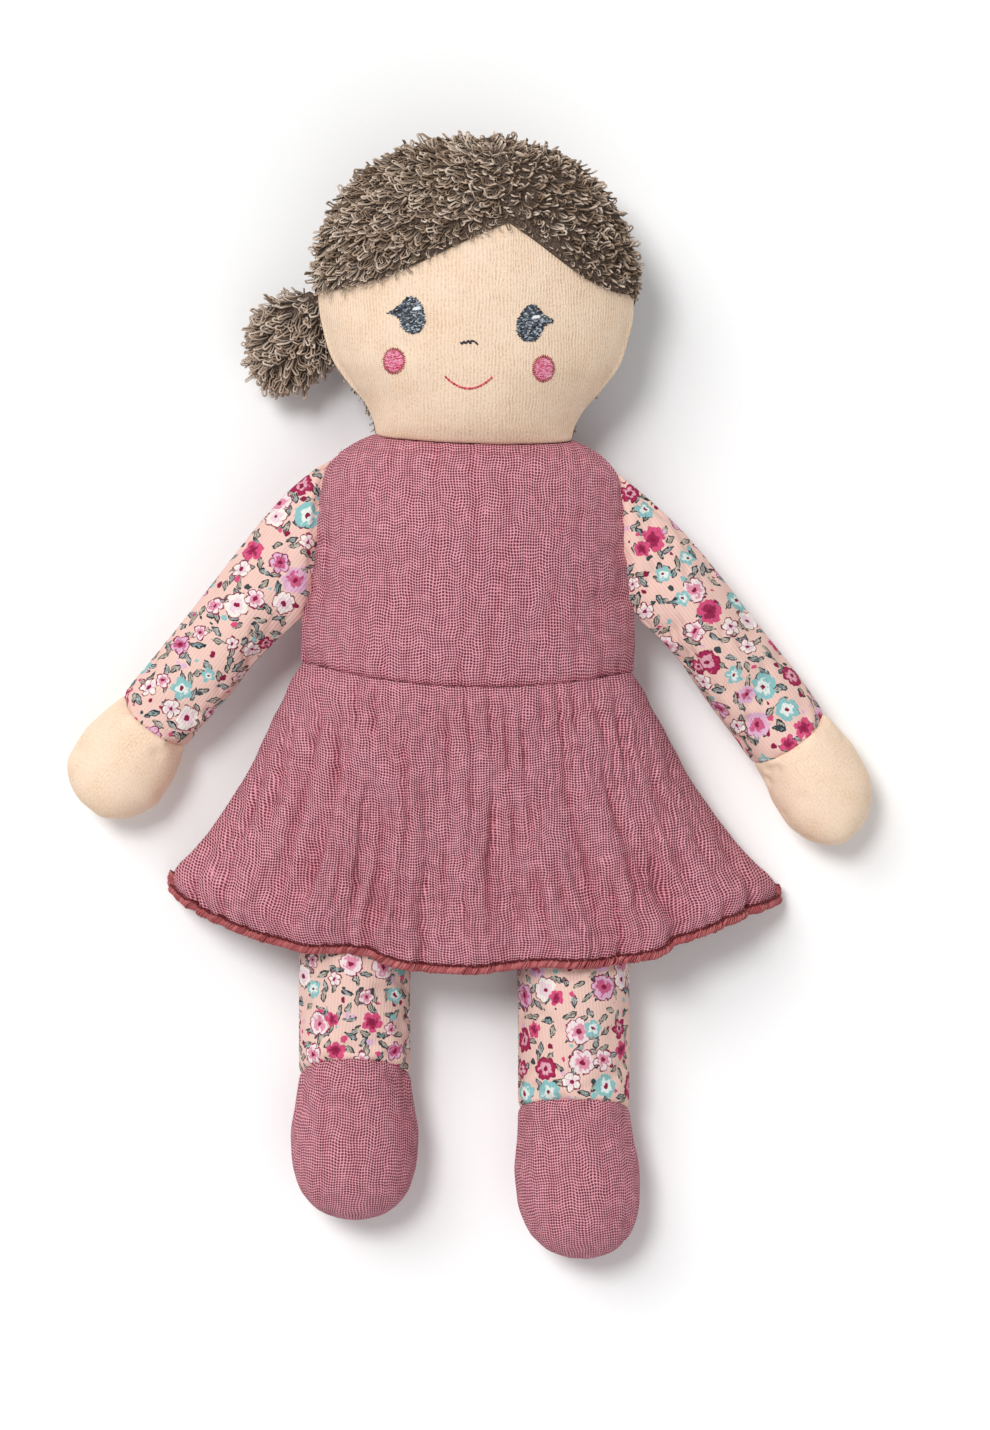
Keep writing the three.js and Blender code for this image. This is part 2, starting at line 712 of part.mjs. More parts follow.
// Skirt: share of the way down, share of the way from the waist's width to the hem's.
const flareShares = [
  [0, 0],
  [0.12, 0.1],
  [0.35, 0.275],
  [0.55, 0.45],
  [0.75, 0.666],
  [0.88, 0.85],
  [1, 1],
];
const flareCurve = new THREE.SplineCurve(flareShares.map(([v, w]) => new THREE.Vector2(v, w)));
function flareAt(v) {
  const i = Math.min(
    flareShares.length - 2,
    flareShares.findLastIndex(([share]) => share <= v)
  );
  const [v0] = flareShares[i];
  const [v1] = flareShares[i + 1];
  const t = (i + (v - v0) / (v1 - v0)) / (flareShares.length - 1);
  return flareCurve.getPoint(t).y;
}
const waistThicknessShare = 0.95; // of the body's thickness
const hemLeanShare = 0.6; // of the body's lean
const slopeShare = 0.01; // for slopes
// A point of a skirt panel's middle surface: u runs across from -1 to 1, v from the waist to the hem, and side is
// 1 in front and -1 at the back.
function skirtPoint(u, v, side) {
  const half = lerp(bodyWidth, skirtHemWidth, flareAt(v)) / 2 - skirtCloth / 2;
  const lean = bodyLeanDegrees * lerp(1, hemLeanShare, v);
  const waistLine = waistY - sheetRoom / 2 - waistSag * (1 - u * u);
  const hemLine = hemCornerY - hemSag * (1 - Math.abs(u) ** 2.6);
  const shape = lerp(2, 4.2, Math.min(1, v * 1.5));
  const bow = (1 - Math.abs(u) ** shape) ** bodyEdgeShare;
  const edge = lerp(bodyZ, skirtCornerHeight, v ** 0.8);
  const phase = Math.PI * foldCount * u;
  const ripple = Math.cos(phase + Math.sin(2 * phase + v) / 2) * v ** 0.8 * bow;
  const [x, y] = leaned(u * half, lerp(waistLine, hemLine, v), lean);
  if (side > 0) {
    const waistTop = bodyZ + (waistThicknessShare * bodyThickness) / 2 - skirtCloth / 2;
    const rise = lerp(waistTop, skirtTopAtHem, v) - edge;
    return new THREE.Vector3(x + v * hemX, y, edge + sheetRoom / 2 + rise * bow + foldDepth * ripple);
  }
  const low = lerp(backRise, 0, v) + skirtCloth / 2 + backFoldDepth * v;
  const drop = Math.max(edge - sheetRoom / 2 - low, 0);
  return new THREE.Vector3(x + v * hemX, y, edge - sheetRoom / 2 - drop * bow + backFoldDepth * ripple);
}
function skirtAcross(u, v, side) {
  const left = skirtPoint(Math.max(-1, u - slopeShare), v, side);
  return skirtPoint(Math.min(1, u + slopeShare), v, side).sub(left);
}
function skirtNormal(u, v, side) {
  const upper = skirtPoint(u, Math.max(0, v - slopeShare), side);
  const down = skirtPoint(u, Math.min(1, v + slopeShare), side).sub(upper);
  return down.cross(skirtAcross(u, v, side)).normalize();
}
// Stations across a panel, closer together towards the sides.
function acrossShare(i, count) {
  const crowdingShare = 0.35;
  const even = lerp(-1, 1, i / count);
  return lerp(even, Math.sin((even * Math.PI) / 2), crowdingShare);
}
function skirtPanel(side, columns, rows) {
  const positions = [];
  for (const face of [1, -1]) {
    for (let j = 0; j <= rows; j++) {
      for (let i = 0; i <= columns; i++) {
        const u = acrossShare(i, columns);
        const p = skirtPoint(u, j / rows, side);
        p.addScaledVector(skirtNormal(u, j / rows, side), (face * skirtCloth) / 2);
        positions.push(p.x, p.y, p.z);
      }
    }
  }
  const wide = columns + 1;
  const layer = wide * (rows + 1);
  const triangles = [];
  const quad = (a, b, c, d) => triangles.push(a, b, c, a, c, d);
  for (let j = 0; j < rows; j++) {
    for (let i = 0; i < columns; i++) {
      const a = j * wide + i;
      quad(a, a + wide, a + wide + 1, a + 1);
      quad(layer + a, layer + a + 1, layer + a + wide + 1, layer + a + wide);
    }
  }
  for (let i = 0; i < columns; i++) {
    const low = rows * wide + i;
    quad(i, i + 1, layer + i + 1, layer + i);
    quad(low + 1, low, layer + low, layer + low + 1);
  }
  for (let j = 0; j < rows; j++) {
    const left = j * wide;
    const right = left + columns;
    quad(left + wide, left, layer + left, layer + left + wide);
    quad(right, right + wide, layer + right + wide, layer + right);
  }
  return outwardSolid(positions, triangles);
}
const skirtColumnCount = 36;
addPiece('skirt_front', skirtPanel(1, skirtColumnCount, 12), 'muslin');
addPiece('skirt_back', skirtPanel(-1, skirtColumnCount - 8, 9), 'muslin');

// Overlocked edging below a panel's hem: an oval strip that follows it from corner to corner.
function hemStrip(side, stepCount) {
  const cornerCount = 6;
  const positions = [];
  const reach = hemWidth / 2 + seamGap;
  for (let i = 0; i <= stepCount; i++) {
    const u = acrossShare(i, stepCount);
    const p = skirtPoint(u, 1, side);
    const normal = skirtNormal(u, 1, side);
    const out = normal.clone().cross(skirtAcross(u, 1, side)).normalize();
    if (out.y > 0) out.negate();
    for (let k = 0; k < cornerCount; k++) {
      const t = (2 * Math.PI * k) / cornerCount;
      const q = p.clone();
      q.addScaledVector(out, reach + (hemWidth / 2) * Math.cos(t));
      q.addScaledVector(normal, (skirtCloth / 2) * Math.sin(t));
      positions.push(q.x, q.y, q.z);
    }
  }
  const triangles = [];
  for (let i = 0; i < stepCount; i++) {
    for (let k = 0; k < cornerCount; k++) {
      const a = i * cornerCount + k;
      const b = i * cornerCount + ((k + 1) % cornerCount);
      triangles.push(a, b, b + cornerCount, a, b + cornerCount, a + cornerCount);
    }
  }
  for (let k = 1; k + 1 < cornerCount; k++) {
    triangles.push(0, k + 1, k);
    triangles.push(stepCount * cornerCount, stepCount * cornerCount + k, stepCount * cornerCount + k + 1);
  }
  return outwardSolid(positions, triangles);
}
addPiece('hem_front', hemStrip(1, skirtColumnCount), 'edging');
addPiece('hem_back', hemStrip(-1, skirtColumnCount - 8), 'edging');

export default doll;
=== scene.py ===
"""A soft rag doll lying on its back on a white table, seen from above.

Sizes are in millimetres until a mesh is made, and in metres from then on. +X is to the right of
the picture, +Y to the top of the doll's head, and +Z up out of its face.
"""

import json
import logging
import math
from collections.abc import Callable, Sequence
from dataclasses import dataclass
from enum import Enum
from functools import cached_property, partial
from itertools import product

import bmesh
import bpy
import numpy as np
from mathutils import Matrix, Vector
from mathutils.bvhtree import BVHTree

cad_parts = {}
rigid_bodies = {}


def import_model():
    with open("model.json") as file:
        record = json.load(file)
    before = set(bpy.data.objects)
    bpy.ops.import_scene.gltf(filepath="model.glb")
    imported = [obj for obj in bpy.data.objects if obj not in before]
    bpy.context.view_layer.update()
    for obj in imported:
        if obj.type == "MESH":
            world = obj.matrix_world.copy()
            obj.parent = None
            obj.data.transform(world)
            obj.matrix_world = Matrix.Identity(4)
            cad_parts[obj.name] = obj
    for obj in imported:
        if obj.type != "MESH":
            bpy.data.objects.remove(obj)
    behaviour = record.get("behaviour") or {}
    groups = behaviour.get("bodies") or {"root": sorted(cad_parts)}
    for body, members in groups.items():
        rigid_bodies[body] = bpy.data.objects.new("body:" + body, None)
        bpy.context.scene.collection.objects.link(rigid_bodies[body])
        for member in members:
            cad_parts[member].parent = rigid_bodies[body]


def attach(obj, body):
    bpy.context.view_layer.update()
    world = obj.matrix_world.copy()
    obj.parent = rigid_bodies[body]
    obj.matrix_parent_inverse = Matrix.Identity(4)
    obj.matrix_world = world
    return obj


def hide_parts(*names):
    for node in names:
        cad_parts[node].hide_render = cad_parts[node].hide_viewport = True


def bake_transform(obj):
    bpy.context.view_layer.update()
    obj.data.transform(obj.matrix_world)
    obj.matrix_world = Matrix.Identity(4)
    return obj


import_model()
log = logging.getLogger("rag_doll")

Array = np.ndarray
Values = float | np.ndarray
Piece = bpy.types.Object
Socket = bpy.types.NodeSocket
Put = Callable[..., Socket]  # the function add, bound to one material's nodes
Painted = tuple[Socket, Socket, float]
Row = tuple[float, ...]
Table = tuple[Row, ...]
Wanted = Callable[[Array, Array], Array]  # tells from rows and columns of a skin where something grows
Field = Callable[[Array], Array]  # gives a value at each point

MM = 0.001
LEAN = 1.7  # degrees by which the body lies turned to the right
SEAM_Z = 25.5  # height of the side seams over the back
CLOTH_Z = 0.15  # least height of the cloth over the back
PANEL_SHIFT = 200.0  # how far apart the cloth maps of a front and a back panel lie
SIMULATION_SCALE = 10.0  # cloth behaves better when it is simulated larger than it is
SIMULATION_FRAMES = 20


# ---- small helpers for numbers and meshes


def mix(a: Values, b: Values, t: Values) -> Values:
    """The value that lies the share t of the way from a to b."""
    return a + (b - a) * t


def smoothstep(low: float, high: float, value: Values) -> Values:
    """Rise smoothly from 0 at low to 1 at high."""
    t = np.clip((value - low) / (high - low), 0.0, 1.0)
    return t * t * (3 - 2 * t)


def rotated(x: Values, y: Values, degrees: float) -> tuple[Values, Values]:
    """Turn points about the origin, clockwise as seen in the picture."""
    c, s = math.cos(math.radians(degrees)), math.sin(math.radians(degrees))
    return x * c + y * s, y * c - x * s


def noise(u: Values, v: Values, seed: int) -> Array:
    """Smooth gradient noise over a plane, from about -1 to 1.

    Args:
        u: first coordinate, one unit to a bump.
        v: second coordinate, of the same shape.
        seed: which noise.

    Returns:
        The noise at each point.
    """
    rng = np.random.default_rng(seed)
    order = rng.permutation(256)
    angles = rng.uniform(0, 2 * math.pi, 256)
    u, v = np.broadcast_arrays(np.asarray(u, float), np.asarray(v, float))
    iu, iv = np.floor(u).astype(int), np.floor(v).astype(int)
    fu, fv = u - iu, v - iv

    def corner(du: int, dv: int) -> Array:
        """What one corner of its cell adds at each point."""
        angle = angles[order[(order[(iu + du) % 256] + iv + dv) % 256]]
        return np.cos(angle) * (fu - du) + np.sin(angle) * (fv - dv)

    su, sv = fu * fu * (3 - 2 * fu), fv * fv * (3 - 2 * fv)
    low = mix(corner(0, 0), corner(1, 0), su)
    high = mix(corner(0, 1), corner(1, 1), su)
    return 1.5 * mix(low, high, sv)


def monotone_curve(at: Array, knots: Array, values: Array) -> Array:
    """Read a smooth curve through knots that never swings past them.

    Args:
        at: places along the curve.
        knots: rising places of the known values.
        values: one row of values for each knot.

    Returns:
        A row of values for each place, with the shape of at and then one column for each value.
    """
    step = np.diff(knots)[:, None]
    slope = np.diff(values, axis=0) / step
    both = slope[:-1] * slope[1:]
    total = np.where(both > 0, slope[:-1] + slope[1:], 1.0)
    middle = np.where(both > 0, 2 * both / total, 0.0)
    tangents = np.vstack([slope[:1], middle, slope[-1:]])
    i = np.clip(np.searchsorted(knots, at, side="right") - 1, 0, len(knots) - 2)
    h = step[i]
    t = ((at - knots[i]) / h[..., 0])[..., None]
    return ((2 * t**3 - 3 * t**2 + 1) * values[i] + (t**3 - 2 * t**2 + t) * h * tangents[i]
        + (3 * t**2 - 2 * t**3) * values[i + 1] + (t**3 - t**2) * h * tangents[i + 1])


def unit(vectors: Array) -> Array:
    """Scale each vector to length 1."""
    return vectors / np.maximum(np.linalg.norm(vectors, axis=-1, keepdims=True), 1e-9)


def lengths_along(points: Array) -> Array:
    """How far along a row of points each of them lies."""
    return np.concatenate([[0.0], np.cumsum(np.linalg.norm(np.diff(points, axis=0), axis=-1))])


def read_along(at: Array, run: Array, values: Array) -> Array:
    """Rows of values at places along a path, from its points' lengths and rows."""
    return np.stack([np.interp(at, run, column) for column in values.T], axis=1)


def read_table(table: Table, at: Array) -> Array:
    """Read a smooth curve through the rows of a table, each a place and a value."""
    knots = np.array(table, float)
    return monotone_curve(at, knots[:, 0], knots[:, 1:])[..., 0]


def square_to(vectors: Array, heading: Array) -> Array:
    """Directions of the vectors once what lies along a heading is taken out."""
    return unit(vectors - heading * np.sum(vectors * heading, axis=1, keepdims=True))


def set_all(thing: object, **values: object) -> None:
    """Set several of a thing's values."""
    for key, value in values.items():
        setattr(thing, key, value)


def make_mesh(name: str, points: Array, faces: Sequence, uvs: Array | None = None, **marks: Array) -> Piece:
    """Make a smooth-shaded object from points in millimetres.

    Args:
        name: the object's name.
        points: one row for each vertex.
        faces: vertex numbers of each face.
        uvs: texture place of each face corner, in millimetres, in the order of the faces.
        **marks: values at the points that the material reads by their name.

    Returns:
        The new object, linked to the scene.
    """
    mesh = bpy.data.meshes.new(name)
    mesh.from_pydata((np.asarray(points, float) * MM).tolist(), [], [list(map(int, f)) for f in faces])
    if uvs is not None:
        layer = mesh.uv_layers.new(name="cloth")
        layer.data.foreach_set("uv", np.asarray(uvs, np.float32).ravel())
    for key, values in marks.items():
        mark = mesh.attributes.new(key, "FLOAT", "POINT")
        mark.data.foreach_set("value", np.asarray(values, np.float32).ravel())
    shell = bmesh.new()
    shell.from_mesh(mesh)
    bmesh.ops.delete(shell, geom=[v for v in shell.verts if not v.link_faces], context="VERTS")
    bmesh.ops.recalc_face_normals(shell, faces=shell.faces)
    shell.to_mesh(mesh)
    shell.free()
    mesh.polygons.foreach_set("use_smooth", [True] * len(mesh.polygons))
    mesh.update()
    made = bpy.data.objects.new(name, mesh)
    bpy.context.scene.collection.objects.link(made)
    return made


def select_only(piece: Piece) -> None:
    """Make a piece the only selected and the active object.

    Args:
        piece: the piece.
    """
    for other in bpy.context.view_layer.objects:
        other.select_set(False)
    piece.select_set(True)
    bpy.context.view_layer.objects.active = piece


def apply_modifier(piece: Piece, kind: str, **settings: object) -> None:
    """Add a modifier to a piece and apply it at once.

    Args:
        piece: the piece.
        kind: the modifier's type.
        **settings: its settings.
    """
    modifier = piece.modifiers.new(kind.lower(), kind)
    set_all(modifier, **settings)
    select_only(piece)
    bpy.ops.object.modifier_apply(modifier=modifier.name)


def dress(piece: Piece, look: "Look") -> None:
    """Give a piece its material.

    Args:
        piece: the piece.
        look: its finish, which also names the record's slot.
    """
    piece.data.materials.clear()
    piece.data.materials.append(look.material)


def surface_of(piece: Piece) -> BVHTree:
    """A search tree over a piece's faces, in metres."""
    mesh = piece.data
    return BVHTree.FromPolygons([v.co for v in mesh.vertices], [p.vertices for p in mesh.polygons])


# ---- finishes


def srgb(code: str, alpha: float = 1.0) -> tuple[float, float, float, float]:
    """Turn an sRGB hex colour to the linear one that a socket takes.

    Args:
        code: the colour's six hex digits.
        alpha: its opacity.

    Returns:
        Red, green, blue and alpha.
    """
    channels = [int(code[i : i + 2], 16) / 255 for i in (0, 2, 4)]
    r, g, b = (c / 12.92 if c <= 0.04045 else ((c + 0.055) / 1.055) ** 2.4 for c in channels)
    return (r, g, b, alpha)


# the setting that the second word of a node's kind fills in
OPTIONS = {"Math": "operation", "VectorMath": "operation", "Mix": "data_type",
    "TexNoise": "noise_dimensions", "TexVoronoi": "voronoi_dimensions"}


def add(tree: bpy.types.NodeTree, kind: str, *inputs: object, out: int = 0, stops: Sequence = (),
        **settings: object) -> Socket:
    """Add a node with its settings and links.

    Args:
        tree: the material's node tree.
        kind: the node's type, and after a space its operation, data type or dimensions, or in capitals
            the operation of a Math node.
        *inputs: what feeds each input that is in use, in order: a socket, a value, a hex colour or None.
        out: which of the outputs in use is wanted.
        stops: places and hex colours of a ramp.
        **settings: the node's other settings.

    Returns:
        The output's socket.
    """
    kind, _, option = (f"Math {kind}" if kind.isupper() else kind).partition(" ")
    made = tree.nodes.new("ShaderNode" + kind)
    if option:
        setattr(made, OPTIONS[kind], option)
    set_all(made, **settings)
    for socket, value in zip([s for s in made.inputs if s.enabled], inputs):
        if isinstance(value, Socket):
            tree.links.new(value, socket)
        elif value is not None:
            socket.default_value = srgb(value) if isinstance(value, str) else value
    if stops:
        elements = made.color_ramp.elements
        while len(elements) < len(stops):
            elements.new(0.5)
        for element, (place, code) in zip(elements, stops):
            element.position, element.color = place, srgb(code)
    return [s for s in made.outputs if s.enabled][out]


@dataclass(frozen=True)
class Finish:
    """What every finish shares: its name and the shader's own values."""

    name: str
    roughness: float = 0.95
    sheen: float = 0.0
    sheen_colour: str = "ffffff"
    specular: float = 0.2

    def build(self) -> bpy.types.Material:
        """Make the material.

        Returns:
            The finished material.
        """
        material = bpy.data.materials.new(self.name)
        material.use_nodes = True
        tree = material.node_tree
        shader = tree.nodes["Principled BSDF"].inputs
        shader["Roughness"].default_value = self.roughness
        shader["Specular IOR Level"].default_value = self.specular
        shader["Sheen Weight"].default_value = self.sheen
        shader["Sheen Tint"].default_value = srgb(self.sheen_colour)
        put = partial(add, tree)
        colour, height, depth_mm = self.paint(put)
        tree.links.new(colour, shader["Base Color"])
        tree.links.new(put("Bump", None, depth_mm * MM, None, height), shader["Normal"])
        return material

    def paint(self, put: Put) -> Painted:
        """Add the nodes of colour and relief.

        Args:
            put: adds a node.

        Returns:
            The colour, the height from 0 to 1, and the relief's depth in millimetres.
        """
        raise NotImplementedError


@dataclass(frozen=True)
class ClothMap:
    """A piece's own map over its cloth, in millimetres."""

    put: Put
    place: Socket
    u: Socket
    v: Socket

    @classmethod
    def of(cls, put: Put) -> "ClothMap":
        """Read the map in a material."""
        place = put("UVMap", uv_map="cloth")
        return cls(put, place, put("SeparateXYZ", place), put("SeparateXYZ", place, out=1))

    def streaks(self, across_mm: float, along_mm: float, detail: float = 1.0, shift: float = 0.0) -> Socket:
        """Noise from 0 to 1 whose bumps have a real width and length.

        Args:
            across_mm: usual width of a bump.
            along_mm: usual length of a bump.
            detail: how many finer layers lie over it.
            shift: moves the noise, so that two of them differ.

        Returns:
            The noise's socket.
        """
        scale = (1 / across_mm, 1 / along_mm, 0)
        scaled = self.put("VectorMath MULTIPLY_ADD", self.place, scale, (shift, shift, 0))
        return self.put("TexNoise 2D", scaled, 1.0, detail)


@dataclass(frozen=True)
class Muslin(Finish):
    """Double gauze, garment washed: an open plain weave of soft threads, whose rows run in crinkled waves."""

    # the real threads are 0.8 mm apart, which is drawn a little coarser, so that they show in the picture
    thread_mm: float = 0.87
    light: str = "f5b0bd"
    middle: str = "ea99a7"
    deep: str = "cb7482"
    # the holes' colour is painted shade between and under the threads
    hole: str = "763341"

    def paint(self, put: Put) -> Painted:
        """Weave the threads, open the holes between them and mottle the dye.

        Args:
            put: adds a node.

        Returns:
            The colour, the height and the relief's depth.
        """
        cloth = ClothMap.of(put)
        # rows and columns of threads wander, because the crinkled cloth pulls them about
        wander_u = put("MULTIPLY", cloth.streaks(8, 8, 1, 70), 1.6)
        wander_v = put("MULTIPLY", cloth.streaks(5.5, 20, 1), 3.0)
        turn = math.pi / self.thread_mm
        warp = put("SINE", put("MULTIPLY", put("ADD", cloth.u, wander_u), turn))
        weft = put("SINE", put("MULTIPLY", put("ADD", cloth.v, wander_v), turn))
        over = put("MULTIPLY", warp, weft)
        warp, weft = put("ABSOLUTE", warp), put("ABSOLUTE", weft)
        warp_up = put("MULTIPLY", warp, put("MULTIPLY_ADD", over, 0.3, 0.7))
        weft_up = put("MULTIPLY", weft, put("MULTIPLY_ADD", over, -0.3, 0.7))
        height = put("MAXIMUM", warp_up, weft_up)
        # the holes are wider where the threads have been drawn apart
        gap = put("MULTIPLY", put("SUBTRACT", 1.0, warp), put("SUBTRACT", 1.0, weft))
        openness = put("MULTIPLY_ADD", cloth.streaks(2.6, 3.4, 2), 8.0, -0.4)
        hole = put("MULTIPLY_ADD", gap, openness, -0.1, use_clamp=True)
        # the dye mottles at random, and the raised threads are painted lighter than the low ones: painted
        # light on the weave
        dye_and_shade = put("MULTIPLY_ADD", height, 0.6, put("MULTIPLY", cloth.streaks(0.6, 0.6, 2, 9), 0.5))
        # the washed cloth has faded on its ridges, and its creases are darkened with painted shade
        ridge = put("Attribute", out=2, attribute_name="ridge")
        dye_and_shade = put("ADD", dye_and_shade, put("MULTIPLY_ADD", ridge, 0.34, -0.2))
        colour = put("ValToRGB", dye_and_shade, stops=[(0.35, self.deep), (0.62, self.middle), (0.9, self.light)])
        # the holes are painted dark with that shade
        colour = put("Mix RGBA", hole, colour, self.hole)
        pucker = put("MULTIPLY", cloth.streaks(1.7, 2.6, 1, 4), 0.9)
        return colour, put("ADD", pucker, put("SUBTRACT", height, hole)), 0.4


@dataclass(frozen=True)
class Velour(Finish):
    """Cotton velour, sheared: a short nap that lies in fine upright rows."""

    row_mm: float = 1.1
    light: str = "fce6cf"
    middle: str = "f6dabf"
    deep: str = "e6c3a1"
    rows: float = 0.24
    relief: float = 0.35

    def paint(self, put: Put) -> Painted:
        """Lay the nap in rows and mottle it.

        Args:
            put: adds a node.

        Returns:
            The colour, the height and the relief's depth.
        """
        cloth = ClothMap.of(put)
        sway = put("MULTIPLY_ADD", cloth.streaks(5, 7, 2, 3), 1.6, cloth.u)
        rows = put("SINE", put("MULTIPLY", sway, 2 * math.pi / self.row_mm))
        rows = put("MULTIPLY", rows, cloth.streaks(2.5, 3, 1, 8))
        nap = cloth.streaks(0.55, 0.8, 2, 5)
        tone = put("MULTIPLY_ADD", rows, self.rows, put("MULTIPLY_ADD", nap, 0.6, 0.2))
        tone = put("MULTIPLY_ADD", cloth.streaks(9, 11, 2, 3), 0.3, tone)
        colour = put("ValToRGB", tone, stops=[(0.4, self.deep), (0.62, self.middle), (0.92, self.light)])
        return colour, tone, self.relief


@dataclass(frozen=True)
class TerryGround(Finish):
    """The knitted ground under the terry loops, in their shadow."""

    def paint(self, put: Put) -> Painted:
        """Knit it in dark brown.

        Args:
            put: adds a node.

        Returns:
            The colour, the height and the relief's depth.
        """
        knit = ClothMap.of(put).streaks(0.7, 0.7, 2)
        return put("ValToRGB", knit, stops=[(0.3, "43362b"), (0.7, "75645a")]), knit, 0.5


@dataclass(frozen=True)
class Yarn(Finish):
    """Spun thread that is told apart strand by strand: each strand carries its own tone."""

    stops: Sequence[tuple[float, str]] = ()
    # the colour of the painted shade at the strands' roots, and how strongly it darkens them
    root: str = "000000"
    root_share: float = 0.0
    fibre_mm: float = 0.35

    def paint(self, put: Put) -> Painted:
        """Colour each strand by its tone, with painted shade darkening it towards its root.

        Args:
            put: adds a node.

        Returns:
            The colour, the height and the relief's depth.
        """
        tone = put("Attribute", out=2, attribute_name="tone")
        place = put("TexCoord", out=3)
        fibre = put("TexNoise", place, 1 / (self.fibre_mm * MM), 2.0)
        mottled = put("ADD", tone, put("MULTIPLY_ADD", fibre, 0.5, -0.25))
        colour = put("ValToRGB", mottled, stops=self.stops)
        # painted shade: the strands darken towards their roots
        if self.root_share:
            reach = put("Attribute", out=2, attribute_name="reach")
            shade = put("MULTIPLY_ADD", reach, -self.root_share, self.root_share)
            colour = put("Mix RGBA", shade, colour, self.root)
        return colour, fibre, 0.12


